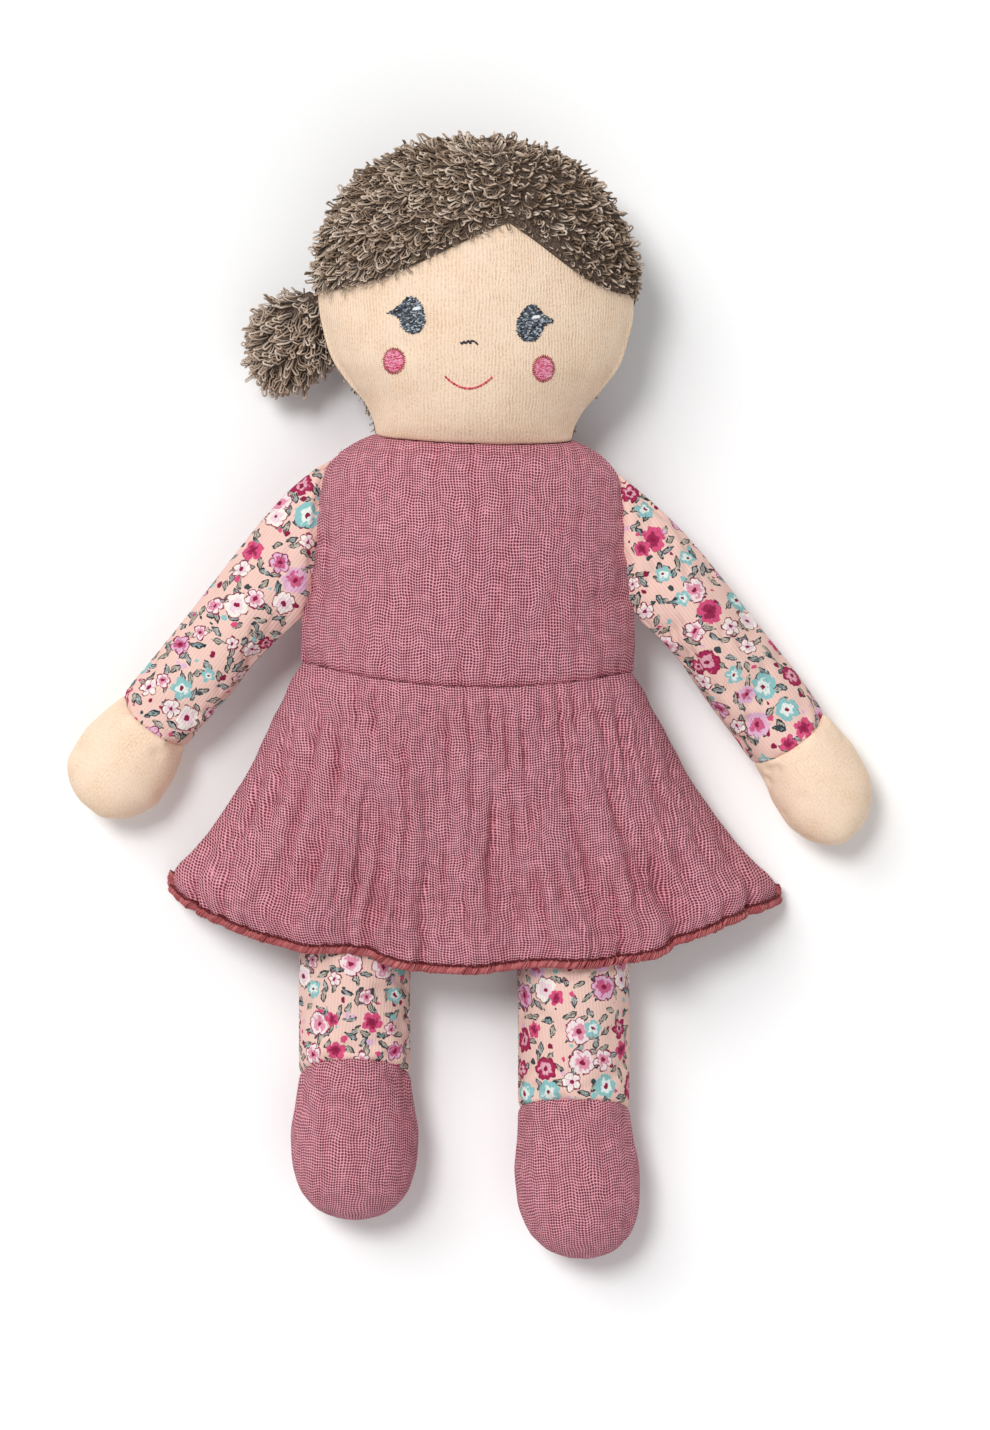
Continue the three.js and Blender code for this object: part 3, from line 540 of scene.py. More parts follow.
@dataclass(frozen=True)
class DitsyJersey(Finish):
    """Printed cotton jersey: blossoms, leaves and buds strewn over a pale ground, with fine knit ribs."""

    ground: str = "f2cdc1"
    leaf: str = "a3aa9b"
    shade_leaf: str = "84a3a5"
    ink: str = "26343b"
    outline: str = "8e1f45"
    blossom_mm: float = 9.4
    leaf_mm: float = 5.4
    bud_mm: float = 3.9
    rib_mm: float = 1.05
    line_mm: float = 0.4

    def motif(self, put: Put, place: Socket, cell_mm: float, offset: float) -> list[Socket]:
        """Strew cells over the cloth and measure each point from the middle of its cell.

        Args:
            put: adds a node.
            place: the cloth map's socket.
            cell_mm: the usual distance between two motifs.
            offset: moves the cells, so that two layers differ.

        Returns:
            The distance from the middle in mm, the angle with a random turn, and two random shares.
        """
        moved = put("VectorMath ADD", place, (offset, offset * 0.7, 0))
        cells = put("TexVoronoi 2D", moved, 1 / cell_mm).node
        cells.inputs["Randomness"].default_value = 0.72
        local = put("VectorMath SUBTRACT", moved, cells.outputs["Position"])
        chance = put("SeparateColor", cells.outputs["Color"]).node.outputs
        parts = put("SeparateXYZ", local).node.outputs
        angle = put("MULTIPLY_ADD", chance[2], 2 * math.pi, put("ARCTAN2", parts[1], parts[0]))
        return [put("VectorMath LENGTH", local), angle, chance[0], chance[1]]

    def edge(self, put: Put, inside: Socket, soft_mm: float = 0.12) -> Socket:
        """Turn a distance inside a shape's edge, in mm, to a mask with a soft edge."""
        return put("MULTIPLY_ADD", inside, 1 / soft_mm, 0.5, use_clamp=True)

    def leaves(self, put: Put, place: Socket, wash: Socket, colour: Socket, cell_mm: float, offset: float,
            fill: str) -> Socket:
        """Print pointed ovals in one tint, with a broken ink line round each and a vein along it.

        Args:
            put: adds a node.
            place: the cloth map's socket.
            wash: noise of the printed colour.
            colour: what is printed so far.
            cell_mm: the usual distance between two leaves.
            offset: moves the leaves, so that two layers differ.
            fill: the leaves' tint.

        Returns:
            The colour with the leaves.
        """
        distance, angle, size, kind = self.motif(put, place, cell_mm, offset)
        along = put("MULTIPLY", distance, put("COSINE", angle))
        aside = put("ABSOLUTE", put("MULTIPLY", distance, put("SINE", angle)))
        share = put("DIVIDE", along, put("ADD", size, 1.8))
        belly = put("MULTIPLY_ADD", put("MULTIPLY", share, share), -0.92, 0.92)
        inside = put("SUBTRACT", belly, aside)
        inside = put("MULTIPLY_ADD", put("GREATER_THAN", kind, 0.88), -9.0, inside)
        leaf = self.edge(put, inside)
        rim = put("SUBTRACT", leaf, self.edge(put, put("SUBTRACT", inside, self.line_mm)))
        vein = put("MULTIPLY", leaf, put("LESS_THAN", aside, 0.13))
        rim = put("MAXIMUM", rim, put("MULTIPLY", vein, 0.7))
        rim = put("MULTIPLY", rim, put("GREATER_THAN", wash, 0.4))
        colour = put("Mix RGBA", put("MULTIPLY", leaf, 0.7), colour, fill)
        return put("Mix RGBA", rim, colour, self.ink)

    def buds(self, put: Put, place: Socket, colour: Socket) -> Socket:
        """Print small round buds.

        Args:
            put: adds a node.
            place: the cloth map's socket.
            colour: what is printed so far.

        Returns:
            The colour with the buds.
        """
        distance, _, size, kind = self.motif(put, place, self.bud_mm, 77.0)
        radius = put("MULTIPLY_ADD", size, 0.55, 0.45)
        bud = self.edge(put, put("SUBTRACT", radius, distance))
        bud = put("MULTIPLY", bud, put("LESS_THAN", kind, 0.36))
        stops = [(0.0, "8e1f45"), (0.11, "d9537f"), (0.18, "3f4a4e"), (0.25, "8fc3c4"), (0.31, "e3b6d2")]
        tint = put("ValToRGB", kind, stops=stops)
        tint.node.color_ramp.interpolation = "CONSTANT"
        return put("Mix RGBA", bud, colour, tint)

    def blossoms(self, put: Put, place: Socket, wash: Socket, colour: Socket) -> Socket:
        """Print blossoms of five or more petals with a washed core, a dark heart and on some an outline.

        Args:
            put: adds a node.
            place: the cloth map's socket.
            wash: noise of the printed colour.
            colour: what is printed so far.

        Returns:
            The colour with the blossoms.
        """
        distance, angle, size, kind = self.motif(put, place, self.blossom_mm, 0.0)
        radius = put("MULTIPLY_ADD", size, 2.1, 2.3)
        petals = put("ABSOLUTE", put("COSINE", put("MULTIPLY", angle, 2.5)))
        many = put("ABSOLUTE", put("COSINE", put("MULTIPLY", angle, 4.0)))
        many = put("MULTIPLY", many, put("GREATER_THAN", size, 0.6))
        petals = put("SQRT", put("MAXIMUM", petals, many))
        edge = put("MULTIPLY", radius, put("MULTIPLY_ADD", petals, 0.42, 0.58))
        inside = put("SUBTRACT", edge, distance)
        blossom = self.edge(put, inside)
        places = (0.0, 0.3, 0.48, 0.6, 0.76, 0.92)
        petal_tints = ("f7efe6", "e3b6d2", "d9537f", "8fc3c4", "f5e3e4", "a92a55")
        inner_tints = ("efd0dc", "c73f70", "8e1f45", "f4f6ef", "e07f9f", "f0b8c6")
        petal = put("ValToRGB", kind, stops=list(zip(places, petal_tints)))
        inner = put("ValToRGB", kind, stops=list(zip(places, inner_tints)))
        for tint in (petal, inner):
            tint.node.color_ramp.interpolation = "CONSTANT"
        colour = put("Mix RGBA", blossom, colour, petal)
        core = put("MULTIPLY", edge, put("MULTIPLY_ADD", wash, 0.9, 0.1))
        core = self.edge(put, put("SUBTRACT", core, distance), 0.5)
        colour = put("Mix RGBA", put("MULTIPLY", core, 0.85), colour, inner)
        heart = self.edge(put, put("SUBTRACT", put("MULTIPLY", radius, 0.2), distance))
        colour = put("Mix RGBA", heart, colour, self.outline)
        rim = put("SUBTRACT", blossom, self.edge(put, put("SUBTRACT", inside, self.line_mm)))
        between = put("MULTIPLY", put("LESS_THAN", petals, 0.36), blossom)
        rim = put("MAXIMUM", rim, between)
        lined = put("MAXIMUM", put("LESS_THAN", kind, 0.42), put("GREATER_THAN", kind, 0.76))
        return put("Mix RGBA", put("MULTIPLY", rim, lined), colour, self.outline)

    def paint(self, put: Put) -> Painted:
        """Print leaves first, then buds, then blossoms over them.

        Args:
            put: adds a node.

        Returns:
            The colour, the height and the relief's depth.
        """
        cloth = ClothMap.of(put)
        brush = put("TexNoise 2D", cloth.place, 0.55, 2.0, out=1)
        drift = put("VectorMath SUBTRACT", brush, (0.5, 0.5, 0.5))
        painted = put("VectorMath MULTIPLY_ADD", drift, (1.6, 1.6, 0), cloth.place)
        wash = cloth.streaks(1.6, 1.6, 2)
        colour = put("Mix RGBA", put("MULTIPLY", wash, 0.35), self.ground, "efc0b2")
        colour = self.leaves(put, painted, wash, colour, self.leaf_mm, 31.0, self.leaf)
        colour = self.leaves(put, painted, wash, colour, self.leaf_mm * 1.25, 118.0, self.shade_leaf)
        colour = self.buds(put, painted, colour)
        colour = self.blossoms(put, painted, wash, colour)
        ribs = put("SINE", put("MULTIPLY", cloth.u, 2 * math.pi / self.rib_mm))
        knit = put("MULTIPLY_ADD", ribs, 0.05, 0.95)
        colour = put("VectorMath MULTIPLY", colour, knit)
        return colour, put("MULTIPLY_ADD", ribs, 0.5, 0.5), 0.06


@dataclass(frozen=True)
class Paper(Finish):
    """Matt white paper of the table, with its grain."""

    def paint(self, put: Put) -> Painted:
        """Leave it white with a faint grain.

        Args:
            put: adds a node.

        Returns:
            The colour, the height and the relief's depth.
        """
        grain = put("TexNoise", put("TexCoord", out=3), 900.0, 1.0)
        return put("ValToRGB", grain, stops=[(0.0, "fcfcfc"), (1.0, "ffffff")]), grain, 0.01


class Look(Enum):
    """The finishes of the doll and the table, each with the record's slot that it belongs to."""

    MUSLIN = "muslin", Muslin("muslin_double_gauze")
    VELOUR = "velour", Velour("velour_cotton", sheen=0.1, sheen_colour="fbe3c7")
    # the nap of the hands is brushed every way, so that its rows hardly show
    HAND_VELOUR = "velour", Velour("velour_cotton_brushed", rows=0.05, relief=0.22, sheen=0.1,
        sheen_colour="fbe3c7")
    TERRY_GROUND = "terry", TerryGround("terry_ground")
    # the loops' roots are darkened with painted shade
    TERRY = "terry", Yarn("terry_loops", stops=((0.0, "8c7661"), (0.45, "c3aa95"), (1.0, "eedbc9")),
        root="281a10", root_share=0.72)
    JERSEY = "jersey", DitsyJersey("jersey_ditsy_print")
    EDGING = "edging", Yarn("overlock_thread", 0.6, stops=((0.0, "5a1a20"), (0.2, "7c3236"), (0.4, "b0565a"),
        (0.7, "c46c6d"), (1.0, "dc9896")))
    EYE_THREAD = "eye_thread", Yarn("eye_thread", 0.45, stops=((0.0, "181c24"), (0.42, "414a57"),
        (0.7, "66727f"), (1.0, "c9d2d8")))
    GLINT_THREAD = "glint_thread", Yarn("glint_thread", 0.45, stops=((0.0, "e6eaee"), (1.0, "ffffff")))
    CHEEK_THREAD = "cheek_thread", Yarn("cheek_thread", 0.45, stops=((0.0, "931d38"), (0.3, "cf405f"),
        (0.6, "e67a9c"), (1.0, "f9b4cb")))
    MOUTH_THREAD = "mouth_thread", Yarn("mouth_thread", 0.5, stops=((0.0, "b83a44"), (0.6, "e0566b"),
        (1.0, "ec8288")))
    NOSE_THREAD = "nose_thread", Yarn("nose_thread", 0.5, stops=((0.0, "2f2c36"), (1.0, "6b6673")))
    PAPER = "table", Paper("white_paper")

    @cached_property
    def material(self) -> bpy.types.Material:
        """The finish's material, made once."""
        return self.value[1].build()


# ---- stuffed forms


@dataclass(frozen=True)
class Filling:
    """How a sewn cover is filled: the simulation's values."""

    pressure: float = 3.0
    slack_mm: float = 1.2
    cap_mm: float = 2.4
    growth: float = 0.02


class Form:
    """A stuffed form through cross-sections: x, y, z, turn in degrees, half width and half thickness."""

    def __init__(self, sections: Sequence[Sequence[float]], edge_share: float, sag: float) -> None:
        """Set up the form.

        Args:
            sections: the cross-sections from one end to the other.
            edge_share: 0.5 for an oval section, nearer 1 for one with a sharp edge at the side seams.
            sag: how far the first end's seam sags in the middle of the front, down the picture.
        """
        self.sections = np.asarray(sections, float)
        self.edge_share = edge_share
        self.sag = sag
        self.knots = lengths_along(self.sections[:, [0, 1, 4]])

    @property
    def length(self) -> float:
        """The form's length along its skin."""
        return float(self.knots[-1])

    def at(self, s: Array, t: Array) -> Array:
        """Points of the surface.

        Args:
            s: places along the form, from 0 to length.
            t: angles round it, 0 at the right side seam and a quarter turn at the middle of the front.

        Returns:
            One point for each pair, in millimetres.
        """
        x, y, z, turn, wide, thick = np.moveaxis(monotone_curve(s, self.knots, self.sections), -1, 0)
        across = wide * np.cos(t)
        up = thick * np.sign(np.sin(t)) * np.abs(np.sin(t)) ** (2 * self.edge_share)
        angle = np.radians(turn)
        z = z + up
        z = np.where(z < 1.5, 1.5 * np.exp((np.minimum(z, 1.5) - 1.5) / 1.5), z)
        y = y - self.sag * np.maximum(np.sin(t), 0) * np.exp(-s / 12)
        return np.stack([x + across * np.cos(angle), y + across * np.sin(angle), z], axis=-1)


def rounded_end(sections: list, reach: float, bluntness: float = 1.0) -> list:
    """Close a row of cross-sections with a rounded end.

    Args:
        sections: the cross-sections.
        reach: how far the end reaches on.
        bluntness: 1 for an oval end, and 2 for a flatter one.

    Returns:
        The cross-sections with those of the end.
    """
    x, y, z, turn, wide, thick = sections[-1]
    dx, dy = x - sections[-2][0], y - sections[-2][1]
    size = math.hypot(dx, dy)
    for degrees in (25, 50, 70, 84):
        on = reach * math.sin(math.radians(degrees)) ** bluntness / size
        keep = math.cos(math.radians(degrees))
        sections = [*sections, (x + dx * on, y + dy * on, z, turn, wide * keep, thick * keep)]
    return sections


def outward(points: Array) -> Array:
    """Find the outward direction at each point of a grid.

    Args:
        points: the grid, rows along a form and columns round it.

    Returns:
        The directions.
    """
    along = np.gradient(points, axis=0)
    across = np.roll(points, -1, axis=1) - np.roll(points, 1, axis=1)
    found = unit(np.cross(across, along))
    middle = points.mean(axis=1, keepdims=True)
    return found if np.mean(np.sum(found * (points - middle), axis=-1)) > 0 else -found


@dataclass
class Skin:
    """A fine grid of points over a form, rows from end to end and columns round it."""

    points: Array
    u: Array
    v: Array
    flat: Array

    @property
    def rows(self) -> int:
        """How many rows of points there are."""
        return self.points.shape[0]

    @property
    def columns(self) -> int:
        """How many columns of points there are."""
        return self.points.shape[1]

    def normals(self) -> Array:
        """The outward direction at each point."""
        return outward(self.points)

    def moved(self, distance: Array) -> "Skin":
        """The same skin with each point moved out by its own distance."""
        return Skin(self.points + self.normals() * distance[..., None], self.u, self.v, self.flat)


def cloth_map(points: Array) -> tuple[Array, Array, Array]:
    """Measure a skin's points along the cloth of its front and back panels.

    Args:
        points: the grid of points.

    Returns:
        Three arrays. The first has, for the front and the back, the distance of each point from the panel's
        middle line. The second has the distance along the form. The third has each point's place on either
        panel laid flat, so that rows that slant do not slant the weave or the print.
    """
    count = points.shape[1]
    quarter = count // 4
    closed = np.concatenate([points, points[:, :1]], axis=1)
    steps = np.linalg.norm(np.diff(closed, axis=1), axis=-1)
    run = np.concatenate([np.zeros((points.shape[0], 1)), np.cumsum(steps, axis=1)], axis=1)
    front = run[:, quarter : quarter + 1] - run
    back = run - run[:, 3 * quarter : 3 * quarter + 1]
    v = lengths_along(points[:, quarter])
    flat = np.zeros((2, *closed.shape[:2], 2))
    for side, (column, apart) in enumerate(((quarter, front), (3 * quarter, back))):
        middle = points[:, column, :2]
        down = unit(middle[-1] - middle[0])
        across = np.array([down[1], -down[0]])
        across *= np.sign(np.sum((points[:, 0, :2] - middle) @ across))
        offset = closed[..., :2] - middle[:, None]
        offset *= (np.abs(apart) / np.maximum(np.linalg.norm(offset, axis=-1), 1e-6))[..., None]
        flat[side, ..., 0] = offset @ across + ((middle - middle[0]) @ across)[:, None]
        flat[side, ..., 1] = offset @ down + v[:, None]
    return np.stack([front, back]), v, flat


def puff(name: str, points: Array, held: Array, filling: Filling) -> Array:
    """Fill a sewn cover with a cloth simulation.

    Args:
        name: what to call the cover while it is filled.
        points: grid of points, rows along the cover and columns round it.
        held: from 0 to 1, how firmly each point is held by a seam.
        filling: the simulation's values.

    Returns:
        How far each point moved, in millimetres.
    """
    rows, columns = points.shape[:2]
    start = points - outward(points) * (filling.slack_mm * (1 - held))[..., None]
    cover = make_mesh(name, start.reshape(-1, 3) * SIMULATION_SCALE, grid_faces(rows, columns, (True, True)))
    group = cover.vertex_groups.new(name="held")
    for index, weight in enumerate(held.ravel()):
        if weight > 0:
            group.add([index], float(weight), "REPLACE")
    cloth = cover.modifiers.new("filling", "CLOTH")
    set_all(cloth.settings, quality=6, mass=0.2, tension_stiffness=25, compression_stiffness=25,
        shear_stiffness=10, bending_stiffness=0.6, use_pressure=True,
        uniform_pressure_force=filling.pressure, vertex_group_mass="held", shrink_min=-filling.growth)
    cloth.settings.effector_weights.gravity = 0
    cloth.collision_settings.use_collision = False
    set_all(cloth.point_cache, frame_start=1, frame_end=SIMULATION_FRAMES)
    scene = bpy.context.scene
    for step in range(SIMULATION_FRAMES):
        scene.frame_set(step + 1)
    result = cover.evaluated_get(bpy.context.evaluated_depsgraph_get()).to_mesh()
    moved = np.empty(len(result.vertices) * 3, np.float32)
    result.vertices.foreach_get("co", moved)
    moved = moved.reshape(rows, columns, 3) / (MM * SIMULATION_SCALE)
    scene.frame_set(1)
    bpy.data.objects.remove(cover)
    shift = moved - points
    size = np.linalg.norm(shift, axis=-1, keepdims=True)
    log.info("%s: filled, moved by %.2f mm on average and %.2f mm at most", name, size.mean(), size.max())
    return shift * np.minimum(1.0, filling.cap_mm / np.maximum(size, 1e-6))


def finer(values: Array, times: int) -> Array:
    """Interpolate a grid smoothly, open along its rows and closed round its columns.

    Args:
        values: the grid.
        times: how many times finer it becomes.

    Returns:
        The finer grid.
    """
    rows, columns = values.shape[:2]
    wrapped = np.concatenate([values[:, -2:], values, values[:, :3]], axis=1)
    knots = np.arange(-2, columns + 3, dtype=float)
    at = np.arange(columns * times) / times
    flat = monotone_curve(at, knots, np.moveaxis(wrapped, 1, 0).reshape(len(knots), -1))
    across = np.moveaxis(flat.reshape(len(at), rows, -1), 0, 1)
    along_at = np.arange((rows - 1) * times + 1) / times
    flat = monotone_curve(along_at, np.arange(rows, dtype=float), across.reshape(rows, -1))
    return flat.reshape(len(along_at), len(at), -1)


def grid_faces(rows: int, columns: int, closed_ends: tuple[bool, bool]) -> list[tuple[int, ...]]:
    """Make the faces of a tube of points.

    Args:
        rows: how many rows of points it has.
        columns: how many points go round it.
        closed_ends: whether each end is flattened and sewn shut.

    Returns:
        The faces.
    """
    faces = []
    for i in range(rows - 1):
        for k in range(columns):
            n = (k + 1) % columns
            faces.append((i * columns + k, i * columns + n, (i + 1) * columns + n, (i + 1) * columns + k))
    half = columns // 2
    for end, base in ((0, 0), (1, (rows - 1) * columns)):
        if not closed_ends[end]:
            continue
        for k in range(half):
            a, b = base + k, base + k + 1
            c, d = base + (columns - k - 1) % columns, base + (columns - k) % columns
            ring = list(dict.fromkeys([a, b, c, d]))
            faces.append(tuple(ring if end == 1 else reversed(ring)))
    return faces


def grid_uvs(faces: Sequence, columns: int, flat: Array, offset: float = 0.0) -> Array:
    """Find the cloth place of each face corner, with the front and back panels mapped apart.

    Args:
        faces: the faces.
        columns: how many points go round the form.
        flat: each point's place on either panel.
        offset: shift of the map.

    Returns:
        The places.
    """
    half = columns // 2
    out = []
    for face in faces:
        ks = [i % columns for i in face]
        wraps = max(ks) - min(ks) > half
        middle = np.mean([k + columns if wraps and k < half else k for k in ks]) % columns
        side = 0 if middle < half else 1
        for i, k in zip(face, ks):
            column = columns if (k == 0 and side == 1) else k
            u, v = flat[side, i // columns, column]
            out.append((u + offset + side * PANEL_SHIFT, v))
    return np.array(out)


def skin_piece(name: str, skin: Skin, rows: tuple[int, int], offset: float = 0.0, **marks: Array) -> Piece:
    """Make a closed piece of some of a skin's rows.

    Args:
        name: the piece's name.
        skin: the skin.
        rows: first and last row of the piece.
        offset: shift of the cloth map, so that a print starts elsewhere.
        **marks: values over the whole skin that the material reads by their name.

    Returns:
        The piece.
    """
    first, last = rows
    points = skin.points[first : last + 1]
    faces = grid_faces(len(points), skin.columns, (True, True))
    uvs = grid_uvs(faces, skin.columns, skin.flat[:, first : last + 1], offset)
    layers = {mark: values[first : last + 1] for mark, values in marks.items()}
    return make_mesh(name, points.reshape(-1, 3), faces, uvs, **layers)


def filled_skin(name: str, form: Form, rows: int, columns: int, times: int, held_ends: tuple[float, float],
        filling: Filling, seam_row: int = 0, seam_place: Callable | None = None, hold_on: int = 0,
        calm_tip: int = 0) -> Skin:
    """Loft a form, fill it and give it a fine skin.

    Args:
        name: the form's name.
        form: the form.
        rows: spaces between the rows of the coarse cover that is simulated.
        columns: columns of it.
        times: how many times finer the skin is.
        held_ends: how firmly the seam at the first and the last end holds.
        filling: how it is filled.
        seam_row: the row that follows a seam between two cloths.
        seam_place: gives from the form and the angles where that seam is along the form.
        hold_on: over how many more rows the first end's hold runs out.
        calm_tip: over how many rows the filling's effect runs out towards the last end.

    Returns:
        The fine skin.
    """

    def lofted(finer_by: int) -> Array:
        """Lay a grid over the form.

        Args:
            finer_by: how many times finer it is than the cover.

        Returns:
            The grid.
        """
        t = 2 * math.pi * np.arange(columns * finer_by) / (columns * finer_by)
        row = np.arange(rows * finer_by + 1)[:, None] / finer_by
        if seam_place is None:
            s = form.length * row / rows * np.ones_like(t)
        else:
            seam = seam_place(form, t)
            beyond = seam + (form.length - seam) * (row - seam_row) / (rows - seam_row)
            s = np.where(row <= seam_row, seam * row / max(seam_row, 1), beyond)
        return form.at(np.clip(s, 0, form.length), np.broadcast_to(t, s.shape))

    coarse = lofted(1)
    held = np.zeros(coarse.shape[:2])
    held[:2], held[-2:] = held_ends[0], held_ends[1]
    held[2 : 2 + hold_on] = np.linspace(held_ends[0], 0, hold_on + 2)[1:-1, None]
    held[:, [0, columns // 2]] = 1.0
    shift = puff(name, coarse, held, filling)
    if calm_tip:
        shift[-calm_tip:] *= smoothstep(0, 1, np.linspace(1, 0, calm_tip))[:, None, None]
    points = lofted(times) + finer(shift, times)
    points[..., 2] = np.maximum(points[..., 2], CLOTH_Z)
    return Skin(points, *cloth_map(points))


# creases between the gauze's ridges, wide ones and finer ones: how far apart they are as a share of a ridge's
# width, how wide and how deep they are, and how far they are shifted
CREASES = ((1.0, 1.3, 0.9, 0.0), (0.46, 0.9, 0.45, 40.0))


def crinkle(u: Values, v: Values, width: float, seed: int) -> Array:
    """The relief of washed double gauze: long rounded ridges with narrow creases between them.

    Args:
        u: distance across the cloth.
        v: distance along it.
        width: usual width of a ridge.
        seed: which pattern.

    Returns:
        The height at each point, about 0 on average, where a ridge is 1 over a crease.
    """
    sway = 0.45 * width * noise(u / (width * 2.6), v / 50, seed)
    sway = sway + 0.15 * width * noise(u / width, v / 13, seed + 1)
    sway = sway + 0.06 * width * noise(u / 3.2, v / 3.4, seed + 2)
    relief = 0.16 * noise(u / 2.6, v / 3.6, seed + 3) + 0.14 * noise(u / 6, v / 5, seed + 4) + 0.24
    for share, wide, deep, shift in CREASES:
        phase = (u + sway + shift) / (width * share)
        off = np.abs(phase - np.round(phase)) * width * share
        strength = np.clip(0.48 + 1.1 * noise((u + shift) / (width * 1.7), v / 20, seed + 5), 0.08, 1)
        relief = relief - deep * strength * np.exp(-((off / wide) ** 1.6))
    return relief


def faded(relief: Array) -> Array:
    """Fading on the ridges with painted shade in the creases, from 0 in a crease to 1 on a ridge."""
    return np.clip(0.62 + 0.85 * relief, 0, 1)


# ---- the doll's parts


def lean_sections(sections: Sequence[Sequence[float]]) -> list[list[float]]:
    """Turn cross-sections about the origin with the whole body."""
    return [[*rotated(x, y, LEAN), z, turn - LEAN, wide, thick] for x, y, z, turn, wide, thick in sections]


def neck_bend(piece: Piece) -> None:
    """Bake a piece's place into its mesh; used for the pieces at the neck."""
    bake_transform(piece)


@dataclass
class Torso:
    """The stuffed body in muslin, from the neck seam down to the hip seam under the skirt."""

    neck_y: float = 36.9
    hip_y: float = -72.0
    half_width: float = 50.0
    half_thickness: float = 26.0
    waist_y: float = -31.5
    waist_sag: float = 6.0
    neck_sag: float = 2.6
    skirt_room: float = 2.8
    ridge_height: float = 0.55
    rows: int = 34
    columns: int = 48
    filling: Filling = Filling()
    shares: Table = ((0.0, 0.6, 0.59), (0.02, 0.69, 0.64), (0.055, 0.8, 0.71), (0.105, 0.88, 0.79),
        (0.175, 0.92, 0.88), (0.27, 0.95, 0.99), (0.41, 0.975, 1.0), (0.56, 1.0, 0.99), (0.66, 1.0, 0.95),
        (0.78, 0.965, 0.85), (0.87, 0.93, 0.66), (0.94, 0.905, 0.36), (0.986, 0.89, 0.045))

    def form(self) -> Form:
        """Shape the body from the neck down.

        Returns:
            The form.
        """
        wide, thick = self.half_width, self.half_thickness
        sections = [(0.3 * a, mix(self.neck_y, self.hip_y, a), SEAM_Z, 0, w * wide, t * thick)
            for a, w, t in self.shares]
        return Form(lean_sections(sections), 0.68, self.neck_sag)

    def waist_depth(self, points: Array) -> Array:
        """Measure how far below the waist seam points lie.

        Args:
            points: the points.

        Returns:
            The distances.
        """
        x, y = rotated(points[..., 0], points[..., 1], -LEAN)
        share = np.clip(x / self.half_width, -1, 1)
        return self.waist_y - self.waist_sag * (1 - share**2) - y

    def build(self) -> Piece:
        """Make the body.

        Returns:
            The body's piece.
        """
        skin = filled_skin("torso", self.form(), self.rows, self.columns, 5, (1.0, 1.0), self.filling)
        below = self.waist_depth(skin.points)
        out = -self.skirt_room * smoothstep(-0.3, 2.6, below) - 0.25 * np.exp(-((below / 1.3) ** 2))
        out -= 0.1 * np.exp(-skin.v / 0.8)[:, None]
        u = skin.u[0, :, :-1] + np.where(np.arange(skin.columns) > skin.columns // 2, 300.0, 0.0)
        relief = crinkle(u, skin.v[:, None], 8.5, 5) * np.clip(skin.v / 6, 0.3, 1)[:, None]
        out += self.ridge_height * relief
        # fading on the ridges and painted shade in the creases, and darker along the waist seam: painted
        # shade under the skirt's top edge
        ridge = faded(0.7 * relief) - 0.45 * np.exp(-((below / 1.2) ** 2))
        piece = skin_piece("torso_muslin", skin.moved(out), (0, skin.rows - 1), ridge=ridge)
        dress(piece, Look.MUSLIN)
        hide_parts("bodice_front", "bodice_back", "seat_cover", "torso_filling", "neck_seam",
            "hip_seam", "left_shoulder_seam", "right_shoulder_seam")
        neck_bend(piece)
        return piece


